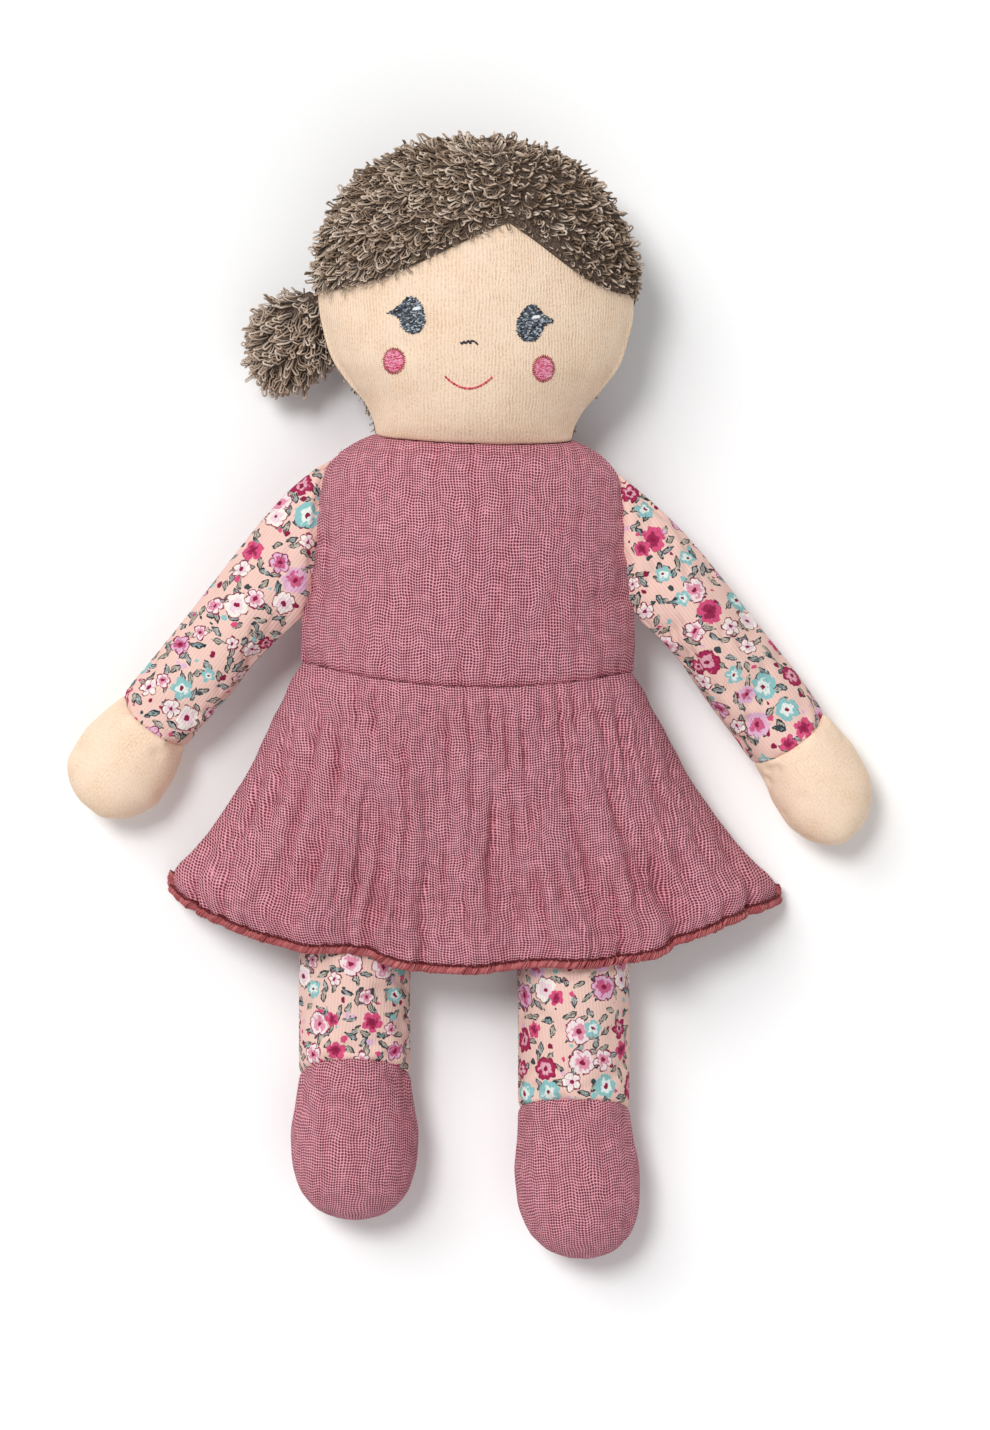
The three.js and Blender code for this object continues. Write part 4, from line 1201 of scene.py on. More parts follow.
@dataclass
class Head:
    """The head: a velour face, and a terry cap whose edge follows the hairline and the side seams."""

    length: float = 87.5
    half_width: float = 47.5
    half_thickness: float = 29.0
    crown_x: float = 1.8
    middle_z: float = 28.5
    neck: Row = (1.095, 36.884, SEAM_Z)
    hairline_peak: Row = (11.7, 99.9)
    hairline_sides: Row = (80.4, 79.2)
    hairline_rise: float = 1.15
    hairline_sag: float = 4.5
    neck_sag: float = 2.6
    face_rows: int = 20
    hair_rows: int = 16
    columns: int = 48
    filling: Filling = Filling(cap_mm=2.0, growth=0.0)
    shares: Table = ((0.0, 0.62, 0.53), (0.02, 0.625, 0.6), (0.05, 0.64, 0.69), (0.104, 0.69, 0.79),
        (0.172, 0.8, 0.865), (0.242, 0.895, 0.915), (0.33, 0.955, 0.955), (0.42, 0.99, 0.98),
        (0.52, 1.0, 1.0), (0.62, 0.98, 0.98), (0.72, 0.92, 0.92), (0.82, 0.81, 0.8), (0.905, 0.67, 0.64),
        (0.965, 0.5, 0.42), (1.0, 0.27, 0.2))
    skin: Skin | None = None
    split: int = 0

    def form(self) -> Form:
        """Shape the head from the neck up.

        Returns:
            The form.
        """
        neck_x, neck_y, neck_z = self.neck
        sections = []
        for a, w, t in self.shares:
            on = min(1, 4 * a)
            x, y, z = mix(neck_x, self.crown_x, on), neck_y + self.length * a, mix(neck_z, self.middle_z, on)
            sections.append([x, y, z, -LEAN * (1 - a), w * self.half_width, t * self.half_thickness])
        return Form(rounded_end(sections, 1.2), 0.68, self.neck_sag)

    def hairline_at(self, x: Array) -> Array:
        """Find the height of the hairline.

        Args:
            x: places across the head.

        Returns:
            The height at each.
        """
        peak_x, peak_y = self.hairline_peak
        result = np.zeros_like(x)
        for side, side_y in zip((-1, 1), self.hairline_sides):
            side_x = self.crown_x + side * self.half_width
            t = np.clip((x - side_x) / (peak_x - side_x), 0, 1)
            height = side_y + (peak_y - side_y) * t**self.hairline_rise
            height = height - self.hairline_sag * np.sin(math.pi * t) * (1 - t)
            result = np.where((x - peak_x) * side >= 0, height, result)
        return result

    def hairline_place(self, form: Form, t: Array) -> Array:
        """Find where columns of the front meet the hairline, and for the back a place level with the sides.

        Args:
            form: the head's form.
            t: the columns' angles.

        Returns:
            The places along the form.
        """
        low, high = np.full(t.shape, 20.0), np.full(t.shape, form.length - 4)
        front = np.abs(np.mod(t + math.pi, 2 * math.pi) - math.pi)
        angle = np.where(np.mod(t, 2 * math.pi) <= math.pi, front, 0.0)
        angle = np.where(np.cos(t) < 0, np.where(np.sin(t) < 0, math.pi, front), angle)
        for _ in range(40):
            middle = (low + high) / 2
            points = form.at(middle, angle)
            above = points[..., 1] > self.hairline_at(points[..., 0])
            low, high = np.where(above, low, middle), np.where(above, middle, high)
        return (low + high) / 2

    def build(self) -> list[Piece]:
        """Make the velour head and the terry ground of the hair.

        Returns:
            The head and the cap.
        """
        form = self.form()
        rows = (self.face_rows, self.hair_rows)
        self.skin = filled_skin("head", form, sum(rows), self.columns, 4, (1.0, 0.0), self.filling, rows[0],
            self.hairline_place, 6)
        self.split = rows[0] * 4
        skin, half = self.skin, self.skin.columns // 2
        tuck = -0.35 * np.exp(-skin.v / 0.9)[:, None] * np.ones(skin.columns)
        worn = 0.25 * noise(skin.u[0, :, :-1] / 13, skin.v[:, None] / 13, 8)
        head = skin_piece("head_velour", skin.moved(tuck + worn), (0, skin.rows - 1))
        dress(head, Look.VELOUR)
        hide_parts("face_panel", "head_filling")
        column = np.arange(skin.columns)
        from_seam = np.minimum.reduce([column % skin.columns, abs(column - half), skin.columns - column])
        low = np.clip((self.split - np.arange(skin.rows)) / 8, 0, 1)[:, None]
        cap_skin = skin.moved(0.9 - 1.15 * low * np.exp(-from_seam / 4.0) + tuck)
        faces = grid_faces(skin.rows, skin.columns, (False, True))

        def covered(face: Sequence[int]) -> bool:
            """Tell whether a face belongs to the cap: above the hairline, or on the back.

            Args:
                face: its vertex numbers.

            Returns:
                True if it does.
            """
            at = [i % skin.columns for i in face]
            on_back = all(k >= half or k == 0 for k in at) and any(k not in (0, half) for k in at)
            return min(face) // skin.columns >= self.split or on_back and max(at) >= half

        kept = [face for face in faces if covered(face)]
        uvs = grid_uvs(kept, skin.columns, skin.flat)
        cap = make_mesh("hair_terry_ground", cap_skin.points.reshape(-1, 3), kept, uvs)
        apply_modifier(cap, "SOLIDIFY", thickness=0.7 * MM, offset=-1.0)
        dress(cap, Look.TERRY_GROUND)
        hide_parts("hair_back")
        for piece in (head, cap):
            neck_bend(piece)
        return [head, cap]


@dataclass
class Bunch:
    """The single hair bunch, a little stuffed ball sewn into the side seam of the head."""

    root: Row = (-45.5, 79.5)
    direction: float = 239.0
    root_z: float = 24.0
    tip_z: float = 11.0
    length: float = 29.5
    half_width: float = 11.2
    half_thickness: float = 10.5
    rows: int = 12
    columns: int = 20
    shares: Table = ((0.01, 0.25, 0.09), (0.12, 0.5, 0.42), (0.28, 0.84, 0.8), (0.46, 1.0, 1.0),
        (0.64, 0.96, 0.97), (0.82, 0.76, 0.78), (0.94, 0.47, 0.48), (1.0, 0.2, 0.2))
    skin: Skin | None = None

    def build(self) -> Piece:
        """Make the bunch's terry ground.

        Returns:
            The piece.
        """
        c, s = math.cos(math.radians(self.direction)), math.sin(math.radians(self.direction))
        (x, y), sections = self.root, []
        for a, w, t in self.shares:
            on, z = self.length * a, mix(self.root_z, self.tip_z, min(1, 2 * a))
            wide, thick = max(w * self.half_width, 2.75), t * self.half_thickness
            sections.append([x + on * c, y + on * s, z, self.direction - 90, wide, thick])
        form = Form(rounded_end(sections, 0.8), 0.55, 0.0)
        self.skin = filled_skin("bunch", form, self.rows, self.columns, 3, (1.0, 0.0),
            Filling(cap_mm=1.0, slack_mm=0.6))
        piece = skin_piece("bunch_terry_ground", self.skin, (0, self.skin.rows - 1))
        dress(piece, Look.TERRY_GROUND)
        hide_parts("bunch_filling")
        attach(piece, "bunch")
        return piece


class Side(Enum):
    """The two sides, as seen in the picture."""

    LEFT = -1
    RIGHT = 1

    @property
    def word(self) -> str:
        """The side's name."""
        return self.name.lower()


@dataclass
class Limb:
    """A stuffed limb: a printed jersey tube, sewn to an end piece of another cloth."""

    side: Side
    filling: Filling = Filling(cap_mm=1.6, slack_mm=0.8)
    rows: Row = (26, 14)
    columns: int = 24
    seam_bow: float = 3.0
    offset: float = 0.0

    def grid(self, name: str, form: Form, seam: float, bow: float) -> tuple[Skin, int]:
        """Fill the limb as one, with a row of points along the seam between its two cloths.

        Args:
            name: the limb's name.
            form: the limb's form.
            seam: where the seam is along the form.
            bow: how far the seam bows towards the limb's end in front.

        Returns:
            The skin and the number of the seam's row.
        """

        def place(_: Form, t: Array) -> Array:
            """Where the seam is at each angle."""
            return seam + bow * np.sin(t)

        skin = filled_skin(name, form, sum(self.rows), self.columns, 4, (1.0, 0.0), self.filling,
            self.rows[0], place, calm_tip=4)
        return skin, self.rows[0] * 4

    def tucked(self, skin: Skin, row: int, depth: float = 0.75) -> Skin:
        """Draw the skin in along the seam between the two cloths."""
        away = np.abs(skin.v - skin.v[row])
        return skin.moved(-depth * np.exp(-away / 0.8)[:, None] * np.ones(skin.columns))


@dataclass
class Arm(Limb):
    """An arm with its mitten hand."""

    shoulder: Row = (-47.5, 5.5)
    direction: float = 228.9
    half_thickness: float = 12.0
    # the outer and the inner edge in the picture from the shoulder on, and the thickness there
    edges: Table = ((-38.5, 33.5, -46.5, -10.0, 0.1), (-41.5, 30.0, -48.5, -14.0, 0.22),
        (-46.0, 27.6, -51.0, -17.6, 0.42), (-52.5, 22.5, -57.0, -23.0, 0.62),
        (-62.5, 12.0, -64.5, -30.5, 0.86), (-74.5, -3.0, -71.5, -39.5, 0.99),
        (-86.0, -17.5, -78.5, -47.5, 1.0), (-97.5, -31.5, -83.5, -53.0, 0.97),
        (-104.7, -40.3, -85.8, -56.0, 0.95))
    hand_edges: Table = ((-110.5, -45.5, -87.6, -61.0, 1.0), (-116.5, -51.5, -90.5, -67.5, 1.0),
        (-120.8, -58.5, -93.8, -72.5, 0.94), (-121.0, -66.0, -99.0, -76.0, 0.8),
        (-117.5, -72.5, -104.5, -77.8, 0.55), (-113.5, -75.8, -109.0, -77.6, 0.3))
    hand_z: float = 11.5
    # how far from the shoulder the arm has come down to the hand's height
    drop_length: float = 66.0
    bend_length: float = 22.0

    def form(self) -> Form:
        """Shape the arm from the shoulder to the finger end.

        Returns:
            The form.
        """
        sections = []
        for outer_x, outer_y, inner_x, inner_y, thick in (*self.edges, *self.hand_edges):
            x, y = (outer_x + inner_x) / 2, (outer_y + inner_y) / 2
            on = min(1.0, math.hypot(x - self.shoulder[0], y - self.shoulder[1]) / self.drop_length)
            across, up = inner_x - outer_x, inner_y - outer_y
            turn = math.degrees(math.atan2(up * self.side.value, across * self.side.value))
            half = math.hypot(across, up) / 2
            sections.append([x, y, mix(SEAM_Z, self.hand_z, on), turn, half, thick * self.half_thickness])
        return Form(rounded_end(sections, 0.5, 2.0), 0.55, 0.0)

    def build(self) -> list[Piece]:
        """Make the sleeve and the hand.

        Returns:
            The two pieces.
        """
        form = self.form()
        word, body = self.side.word, f"{self.side.word}_arm"
        seam = form.knots[len(self.edges) - 1]
        skin, row = self.grid(body, form, float(seam), self.seam_bow)
        skin = self.tucked(skin, row)
        sleeve = skin_piece(f"{word}_sleeve_jersey", skin, (0, row), self.offset)
        dress(sleeve, Look.JERSEY)
        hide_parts(f"{word}_sleeve", f"{word}_arm_filling")
        hand = skin_piece(f"{word}_hand_velour", skin, (row, skin.rows - 1), self.offset)
        dress(hand, Look.HAND_VELOUR)
        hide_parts(f"{word}_hand")
        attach(hand, body)
        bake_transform(sleeve)
        return [sleeve, hand]


# the right arm lies a little steeper than the left one
RIGHT_ARM = ((35.5, 31.0, 45.5, -11.5, 0.1), (41.5, 28.0, 48.5, -14.8, 0.22),
    (46.5, 24.2, 51.5, -18.5, 0.42), (54.0, 18.0, 57.0, -23.5, 0.62), (64.5, 8.0, 63.5, -31.0, 0.86),
    (76.0, -5.5, 70.0, -40.5, 0.99), (86.5, -19.0, 76.0, -48.5, 1.0), (97.0, -32.0, 81.0, -55.0, 0.97),
    (106.8, -45.8, 85.5, -61.2, 0.95))
RIGHT_HAND = ((111.5, -51.0, 88.8, -66.5, 1.0), (116.0, -56.5, 91.5, -73.0, 1.0),
    (120.2, -64.5, 95.0, -78.5, 0.94), (120.8, -73.0, 100.0, -83.0, 0.8), (117.8, -80.5, 106.5, -85.6, 0.55),
    (114.5, -83.8, 110.5, -85.6, 0.3))


@dataclass
class Leg(Limb):
    """A leg with its muslin shoe."""

    length: float = 83.0
    ankle_x: float = -34.8
    root_offset: float = 22.45
    hip_y: float = -72.0
    width: float = 33.5
    root_width: float = 43.1
    half_thickness: float = 14.0
    foot_z: float = 14.5
    shoe_length: float = 43.8
    shoe_half_width: float = 18.9
    shoe_half_thickness: float = 15.0
    shoe_shift: float = 0.0
    shares: Table = ((0.018, 1, 0.08), (0.07, 0.86, 0.38), (0.15, 0.6, 0.72), (0.28, 0.3, 0.94),
        (0.45, 0.1, 1), (0.7, 0, 1), (1, 0, 0.98))
    shoe_shares: Table = ((0.22, 0.93, 0.96), (0.42, 1, 1), (0.62, 0.975, 0.97), (0.8, 0.85, 0.84),
        (0.92, 0.63, 0.6), (0.98, 0.4, 0.36), (1, 0.22, 0.18))

    def form(self) -> Form:
        """Shape the leg from the hip seam to the toe.

        Returns:
            The form.
        """
        root_x, root_y = rotated(0.3 + self.side.value * self.root_offset, self.hip_y, LEAN)
        sections = []
        for a, flare, t in self.shares:
            x, wide = mix(self.ankle_x, root_x, flare * (1 - a)), mix(self.width, self.root_width, flare) / 2
            z = mix(SEAM_Z, self.foot_z, math.sqrt(a))
            sections.append([x, root_y - a * self.length, z, -LEAN * flare, wide, t * self.half_thickness])
        for a, w, t in self.shoe_shares:
            x, y = self.ankle_x + a * self.shoe_shift, root_y - self.length - a * self.shoe_length
            wide, thick = w * self.shoe_half_width, t * self.shoe_half_thickness
            sections.append([x, y, self.foot_z, 0, wide, thick])
        return Form(rounded_end(sections, 0.5, 2.0), 0.55, 0.0)

    def build(self) -> list[Piece]:
        """Make the jersey leg and the muslin shoe.

        Returns:
            The two pieces.
        """
        form = self.form()
        word, body = self.side.word, f"{self.side.word}_leg_body"
        seam = form.knots[len(self.shares) - 1]
        skin, row = self.grid(body, form, float(seam), -self.seam_bow)
        away = np.maximum(skin.v - skin.v[row], 0)[:, None]
        relief = crinkle(skin.u[0, :, :-1], skin.v[:, None], 9.0, 21 + self.side.value)
        relief = relief * smoothstep(0, 3, away)
        skin = self.tucked(skin.moved(0.3 * relief), row)
        leg = skin_piece(f"{word}_leg_jersey", skin, (0, row), self.offset)
        dress(leg, Look.JERSEY)
        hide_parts(f"{word}_leg", f"{word}_leg_filling")
        # the shoe's ridges fade and its creases are darkened with painted shade
        shoe = skin_piece(f"{word}_shoe_muslin", skin, (row, skin.rows - 1), self.offset,
            ridge=faded(0.5 * relief))
        dress(shoe, Look.MUSLIN)
        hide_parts(f"{word}_shoe")
        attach(shoe, body)
        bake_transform(leg)
        return [leg, shoe]


# ---- the skirt


@dataclass
class Skirt:
    """The muslin skirt: a front and a back sheet sewn into the waist seam, with an overlocked hem."""

    waist_width: float = 100.0
    hem_width: float = 184.0
    length: float = 92.0
    edge_inset: float = 0.6
    waist_y: float = -32.25
    waist_sag: float = 6.0
    side_y: float = -99.5
    hem_sag: float = 21.5
    cloth: float = 0.9
    hem_radius: float = 1.45
    columns: int = 340
    rows: int = 130
    thread_pitch: float = 0.42
    stitch_pitch: float = 1.15
    turn_up: int = 7
    # heights over the back: of the front's middle at the waist and at the hem, and of the hem's corners
    waist_crown: float = 49.6
    hem_crown: float = 33.0
    corner_z: float = 2.2
    drift: float = 3.2
    waves: int = 7
    hem_waves: Table = ((-1, 0), (-0.94, -1), (-0.78, -0.5), (-0.57, 0.2), (-0.385, 3.0), (-0.22, 0),
        (0, -0.5), (0.2, 1.5), (0.41, 0), (0.6, -0.3), (0.69, 1.6), (0.86, 1.8), (1, 0))
    flare: Table = ((0, 0), (0.12, 0.115), (0.35, 0.3), (0.5, 0.43), (0.63, 0.56), (0.765, 0.725),
        (0.85, 0.85), (0.91, 0.95), (0.955, 0.99), (1, 1))
    ridge_height: float = 1.9
    back_ridge_height: float = 0.8
    # deeper folds: the place across, the width, the depth in mm and where each begins
    folds: Table = ((-0.62, 0.035, 1.5, 0.05), (-0.33, 0.028, 1.6, 0.55), (0.08, 0.03, 1.0, 0.35),
        (0.47, 0.035, 1.6, 0.2), (0.66, 0.04, 1.8, 0.25))

    def width_at(self, share: Values) -> Values:
        """The width at a share of the way from the waist's to the hem's."""
        return mix(self.waist_width, self.hem_width, share)

    def at(self, u: Array, v: Array, front: bool) -> Array:
        """Points of a skirt panel before it is crinkled.

        Args:
            u: -1 at the left side seam to 1 at the right one.
            v: 0 at the waist to 1 at the hem.
            front: whether it is the front panel.

        Returns:
            The points.
        """
        half = self.width_at(read_table(self.flare, v)) / 2 - self.edge_inset
        lean = LEAN * mix(1, 0.6, v)
        top = self.waist_y - self.waist_sag * (1 - u**2)
        bottom = self.side_y - self.hem_sag * (1 - np.abs(u) ** 2.6)
        bottom = bottom + read_table(self.hem_waves, u) * v**3
        half = half + 0.45 * noise(0.5, v * self.length / 9.0, 91) * smoothstep(0, 0.1, v)
        x, y = u * half, mix(top, bottom, v)
        c, s = np.cos(np.radians(lean)), np.sin(np.radians(lean))
        x, y = x * c + y * s + v * self.drift, y * c - x * s
        shape = mix(2, 4.2, np.minimum(1, 1.5 * v))
        bow = (1 - np.abs(u) ** shape) ** 0.68
        edge = mix(SEAM_Z, self.corner_z, v**0.8)
        # the panels close on each other at the side seams
        apart = 0.05 + 0.7 * np.minimum(1, (1 - np.abs(u)) * 60)
        phase = self.waves * math.pi * u
        ripple = np.cos(phase + np.sin(2 * phase + v) / 2) * v**0.8 * bow
        if front:
            puff_up = 2.0 * smoothstep(0, 0.07, v) * (1 - smoothstep(0.07, 0.7, v))
            crown = mix(self.waist_crown, self.hem_crown, v)
            z = edge + apart + (crown - edge + puff_up) * bow + 1.7 * ripple
        else:
            low = mix(1.3, 0, v) + 0.6 + 0.4 * v
            z = edge - apart - np.maximum(edge - apart - low, 0) * bow + 0.4 * ripple
        return np.stack([x, y, z], axis=-1)

    def panel(self, front: bool) -> tuple[Array, Array, Array, Array]:
        """Crinkle a panel.

        Args:
            front: whether it is the front panel.

        Returns:
            Its points, its cloth map across and along, and its relief.
        """
        even = np.linspace(-1, 1, self.columns)
        u = mix(even, np.sin(even * math.pi / 2), 0.6)[None, :]
        v = np.linspace(0, 1, self.rows)[:, None]
        u, v = np.broadcast_arrays(u, v)
        points = self.at(u, v, front)
        map_u, map_v = u * self.width_at(v) * 0.52, v * self.length
        along, across = np.gradient(points, axis=0), np.gradient(points, axis=1)
        normal = unit(np.cross(across, along))
        normal = normal * np.sign(normal[..., 2:3].mean()) * (1 if front else -1)
        fan = u * self.width_at(0.3 + 0.45 * v) * 0.5
        # the crinkles fade out at the waist and in the side seams
        fade = mix(0.45, 1.0, smoothstep(0, 0.3, v)) * smoothstep(-0.02, 0.06, v)
        fade = fade * np.clip((1 - np.abs(u)) * 14, 0, 1)
        relief = crinkle(fan, map_v, 6.7, 31 if front else 37) * fade
        out = relief * (self.ridge_height if front else self.back_ridge_height)
        for place, wide, deep, start in self.folds if front else ():
            fold = np.exp(-(((u - place) / wide) ** 2)) * smoothstep(start, start + 0.35, v)
            out, relief = out - deep * fold, relief - 0.4 * fold
        points = points + normal * out[..., None]
        points[..., 2] = np.maximum(points[..., 2], 0.2)
        return points, map_u, map_v, relief

    def sheet(self, front: bool) -> Piece:
        """Make one panel with its thickness.

        Args:
            front: whether it is the front panel.

        Returns:
            The panel.
        """
        word = "front" if front else "back"
        points, map_u, map_v, relief = self.panel(front)
        rows, columns = points.shape[:2]
        n = np.arange(rows * columns).reshape(rows, columns)
        faces = np.stack([n[:-1, :-1], n[:-1, 1:], n[1:, 1:], n[1:, :-1]], axis=-1).reshape(-1, 4)
        faces = faces[:, ::-1] if front else faces
        flat = np.stack([map_u, map_v + (0 if front else PANEL_SHIFT)], axis=-1).reshape(-1, 2)
        points = points.reshape(-1, 3)
        # the ridges fade and the creases are darkened with painted shade
        piece = make_mesh(f"skirt_{word}_muslin", points, faces, flat[faces.ravel()], ridge=faded(relief))
        apply_modifier(piece, "SOLIDIFY", thickness=self.cloth * MM, offset=-1.0)
        dress(piece, Look.MUSLIN)
        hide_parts(f"skirt_{word}")
        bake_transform(piece)
        return piece

    def hem(self, front: bool) -> Piece:
        """Make one panel's hem: a rolled edge wound with thread, and on the front panel a row of needle
        stitches above it.

        Args:
            front: whether it is the front panel.

        Returns:
            The hem.
        """
        word = "front" if front else "back"
        cloth = self.panel(front)[0]
        edge, down = cloth[-1], unit(cloth[-1] - cloth[-5])
        if front:
            # the roll turns up a little way along the side seams
            count = self.turn_up
            start, end = cloth[-count - 1 : -1, 0], cloth[-count - 1 : -1, -1][::-1]
            turn, aside = smoothstep(0, 1, np.linspace(0, 1, count))[:, None], np.array([1.0, 0, 0])
            first, last = mix(-aside, down[0], turn), mix(down[-1], aside, turn)
            edge, down = np.concatenate([start, edge, end]), unit(np.concatenate([first, down, last]))
        # its ends are tucked in
        tuck = smoothstep(-0.2, self.turn_up, np.minimum(np.arange(len(edge)), np.arange(len(edge))[::-1]))
        path = edge + down * self.hem_radius * (tuck if front else np.ones(len(edge)))[:, None]
        path[:, 2] = np.maximum(path[:, 2], self.hem_radius + CLOTH_Z)
        run, slopes = lengths_along(path), np.gradient(path, axis=0)
        rng = np.random.default_rng(41 if front else 42)
        at = np.arange(0.4, run[-1] - 0.4, self.thread_pitch)
        at = at + rng.uniform(-0.06, 0.06, len(at))
        away = unit(read_along(at, run, down))
        axis = unit(unit(read_along(at, run, slopes)) + away * rng.uniform(0.6, 0.8, (len(at), 1)))
        first = unit(np.cross(axis, np.cross(away, axis)))
        size = rng.uniform(0.95, 1.12, (len(at), 1))
        tone = rng.uniform(0.35, 0.85, len(at))
        rings, turn_of_thread = Copies(), ring_template(self.hem_radius * 0.9, 0.2)
        second, centre = np.cross(axis, first), read_along(at, run, path)
        rings.place(turn_of_thread, centre, first * size, second * size, axis, tone)
        tube = tube_points(path[::2], down[::2], self.hem_radius * 0.75, 10)
        rings.add_mesh(*tube, tone=0.15)
        if front:
            at = np.arange(1.0, run[-1] - 1.0, self.stitch_pitch)
            out, ahead = read_along(at, run, down), unit(read_along(at, run, slopes))
            up = unit(np.cross(ahead, out))
            up = up * np.where(up[:, 2:3] < 0, -1, 1)
            slant = np.where(np.arange(len(at)) % 2, 0.5, -0.5)[:, None]
            along = unit(ahead + out * slant)
            root, tone = read_along(at, run, edge) - out * 0.2 + up * 0.95, rng.uniform(0, 0.08, len(at))
            rings.place(stitch_template(1.3, 0.75), root, np.cross(up, along), along, up, tone)
        piece = rings.build(f"hem_{word}_overlock")
        dress(piece, Look.EDGING)
        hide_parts(f"hem_{word}")
        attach(piece, "lap")
        return piece

    def build(self) -> list[Piece]:
        """Make both panels and both hems.

        Returns:
            The four pieces.
        """
        made = []
        for front in (True, False):
            sheet, hem = self.sheet(front), self.hem(front)
            made += [sheet, hem]
        return made


# ---- what repeats: loops, rings and stitches


@dataclass
class Template:
    """A small shape to copy: its points in millimetres, its faces and its reach from root to tip."""

    points: Array
    faces: list
    reach: Array


def taken(piece: Piece) -> Template:
    """Keep a modelled shape as a template and remove its object.

    Args:
        piece: the shape.

    Returns:
        The template.
    """
    points = np.array([v.co for v in piece.data.vertices]) / MM
    faces = [tuple(p.vertices) for p in piece.data.polygons]
    bpy.data.objects.remove(piece)
    span = points[:, 1].max() - points[:, 1].min()
    return Template(points, faces, (points[:, 1] - points[:, 1].min()) / max(span, 1e-6))


def ring_template(radius: float, yarn: float) -> Template:
    """Model one turn of thread round the hem's roll.

    Args:
        radius: radius of the roll.
        yarn: half the thread's thickness.

    Returns:
        The template, whose axis is Z.
    """
    bpy.ops.mesh.primitive_torus_add(major_segments=10, minor_segments=4, major_radius=radius * MM,
        minor_radius=yarn * MM)
    return taken(bpy.context.object)


def loop_template(length: float, width: float, yarn: float, curl: float) -> Template:
    """Model one terry loop: a ring of yarn drawn out to a long loop, with its tip curled up and aside.

    Args:
        length: from the root to the tip.
        width: across the loop.
        yarn: half the yarn's thickness.
        curl: how far the outer half turns aside, in degrees.

    Returns:
        The template, with its root at the origin and its tip along +Y.
    """
    radius, reach = width / 2 - yarn, length - width
    bpy.ops.mesh.primitive_torus_add(major_segments=12, minor_segments=3, major_radius=radius * MM,
        minor_radius=yarn * MM)
    loop = bpy.context.object
    select_only(loop)

    def take(above: float) -> None:
        """Select the points beyond a height and go to edit mode.

        Args:
            above: the height in millimetres.
        """
        bpy.ops.mesh.select_all(action="DESELECT")
        bpy.ops.object.mode_set(mode="OBJECT")
        for vertex in loop.data.vertices:
            vertex.select = vertex.co.y > above * MM
        bpy.ops.object.mode_set(mode="EDIT")

    bpy.ops.object.mode_set(mode="EDIT")
    for above in (-0.3 * radius, 0.3 * radius):
        take(above + (reach / 2 if above > 0 else 0))
        bpy.ops.transform.translate(value=(0, reach / 2 * MM, 0))
    take(0.2 * reach)
    turned = math.radians(curl)
    bpy.ops.transform.rotate(value=turned, orient_axis="Z", center_override=(0, 0.3 * reach * MM, 0))
    take(0.6 * reach)
    bpy.ops.transform.rotate(value=turned * 0.8, orient_axis="Z", center_override=(0, 0.7 * reach * MM, 0))
    bpy.ops.transform.translate(value=(0, 0, 0.6 * MM))
    bpy.ops.object.mode_set(mode="OBJECT")
    return taken(loop)


def stitch_template(length: float, width: float) -> Template:
    """Model one stitch: a ball drawn out along +Y and pressed flat on its ground.

    Args:
        length: of the stitch.
        width: of the thread.

    Returns:
        The template, with its middle at the origin.
    """
    bpy.ops.mesh.primitive_uv_sphere_add(segments=6, ring_count=5, radius=0.5 * MM,
        rotation=(math.pi / 2, 0, 0))
    ball = bpy.context.object
    select_only(ball)
    bpy.ops.object.transform_apply(rotation=True)
    bpy.ops.object.mode_set(mode="EDIT")
    bpy.ops.mesh.select_all(action="SELECT")
    bpy.ops.transform.resize(value=(width, length, width * 0.8), center_override=(0, 0, 0))
    bpy.ops.object.mode_set(mode="OBJECT")
    return taken(ball)


def tube_points(path: Array, outward: Array, radius: float, sides: int) -> tuple[Array, list]:
    """Points and faces of a closed tube along a path.

    Args:
        path: the points along its middle.
        outward: a direction across it at each point.
        radius: of the tube.
        sides: how many faces round it.

    Returns:
        The points and the faces.
    """
    heading = unit(np.gradient(path, axis=0))
    first = square_to(outward, heading)
    second = np.cross(heading, first)
    t = 2 * math.pi * np.arange(sides) / sides
    ring = first[:, None] * np.cos(t)[:, None] + second[:, None] * np.sin(t)[:, None]
    points = (path[:, None] + ring * radius).reshape(-1, 3)
    faces, last = grid_faces(len(path), sides, (False, False)), (len(path) - 1) * sides
    return points, [*faces, tuple(reversed(range(sides))), tuple(last + k for k in range(sides))]


class Copies:
    """Copies of small shapes, gathered in one mesh with a tone and a reach at each point."""

    def __init__(self) -> None:
        """Start with none."""
        self.points, self.faces, self.tones, self.reaches = [], [], [], []
        self.count = 0

    def place(self, template: Template, origin: Array, x: Array, y: Array, z: Array, tone: Array) -> None:
        """Put down copies of a template.

        Args:
            template: the shape.
            origin: where each copy's origin goes.
            x: each copy's X direction, and so for y and z.
            y: the Y direction.
            z: the Z direction.
            tone: each copy's tone from 0 to 1.
        """
        points = origin[:, None] + np.einsum("vi,nij->nvj", template.points, np.stack([x, y, z], axis=1))
        each = len(template.points)
        faces = [[n * each + i for i in face] for n in range(len(origin)) for face in template.faces]
        reach = np.tile(template.reach, len(origin))
        self.add_mesh(points.reshape(-1, 3), faces, np.repeat(tone, each), reach)

    def add_mesh(self, points: Array, faces: list, tone: Values, reach: Values = 0.0) -> None:
        """Add a shape.

        Args:
            points: its points.
            faces: its faces.
            tone: its tone, or that of each point.
            reach: its reach, or that of each point.
        """
        self.faces += [[self.count + i for i in face] for face in faces]
        self.points.append(points)
        self.tones.append(np.broadcast_to(tone, len(points)))
        self.reaches.append(np.broadcast_to(reach, len(points)))
        self.count += len(points)

    def build(self, name: str) -> Piece:
        """Make the mesh with its tone and reach.

        Args:
            name: the piece's name.

        Returns:
            The piece.
        """
        tone, reach = np.concatenate(self.tones), np.concatenate(self.reaches)
        return make_mesh(name, np.concatenate(self.points), self.faces, tone=tone, reach=reach)


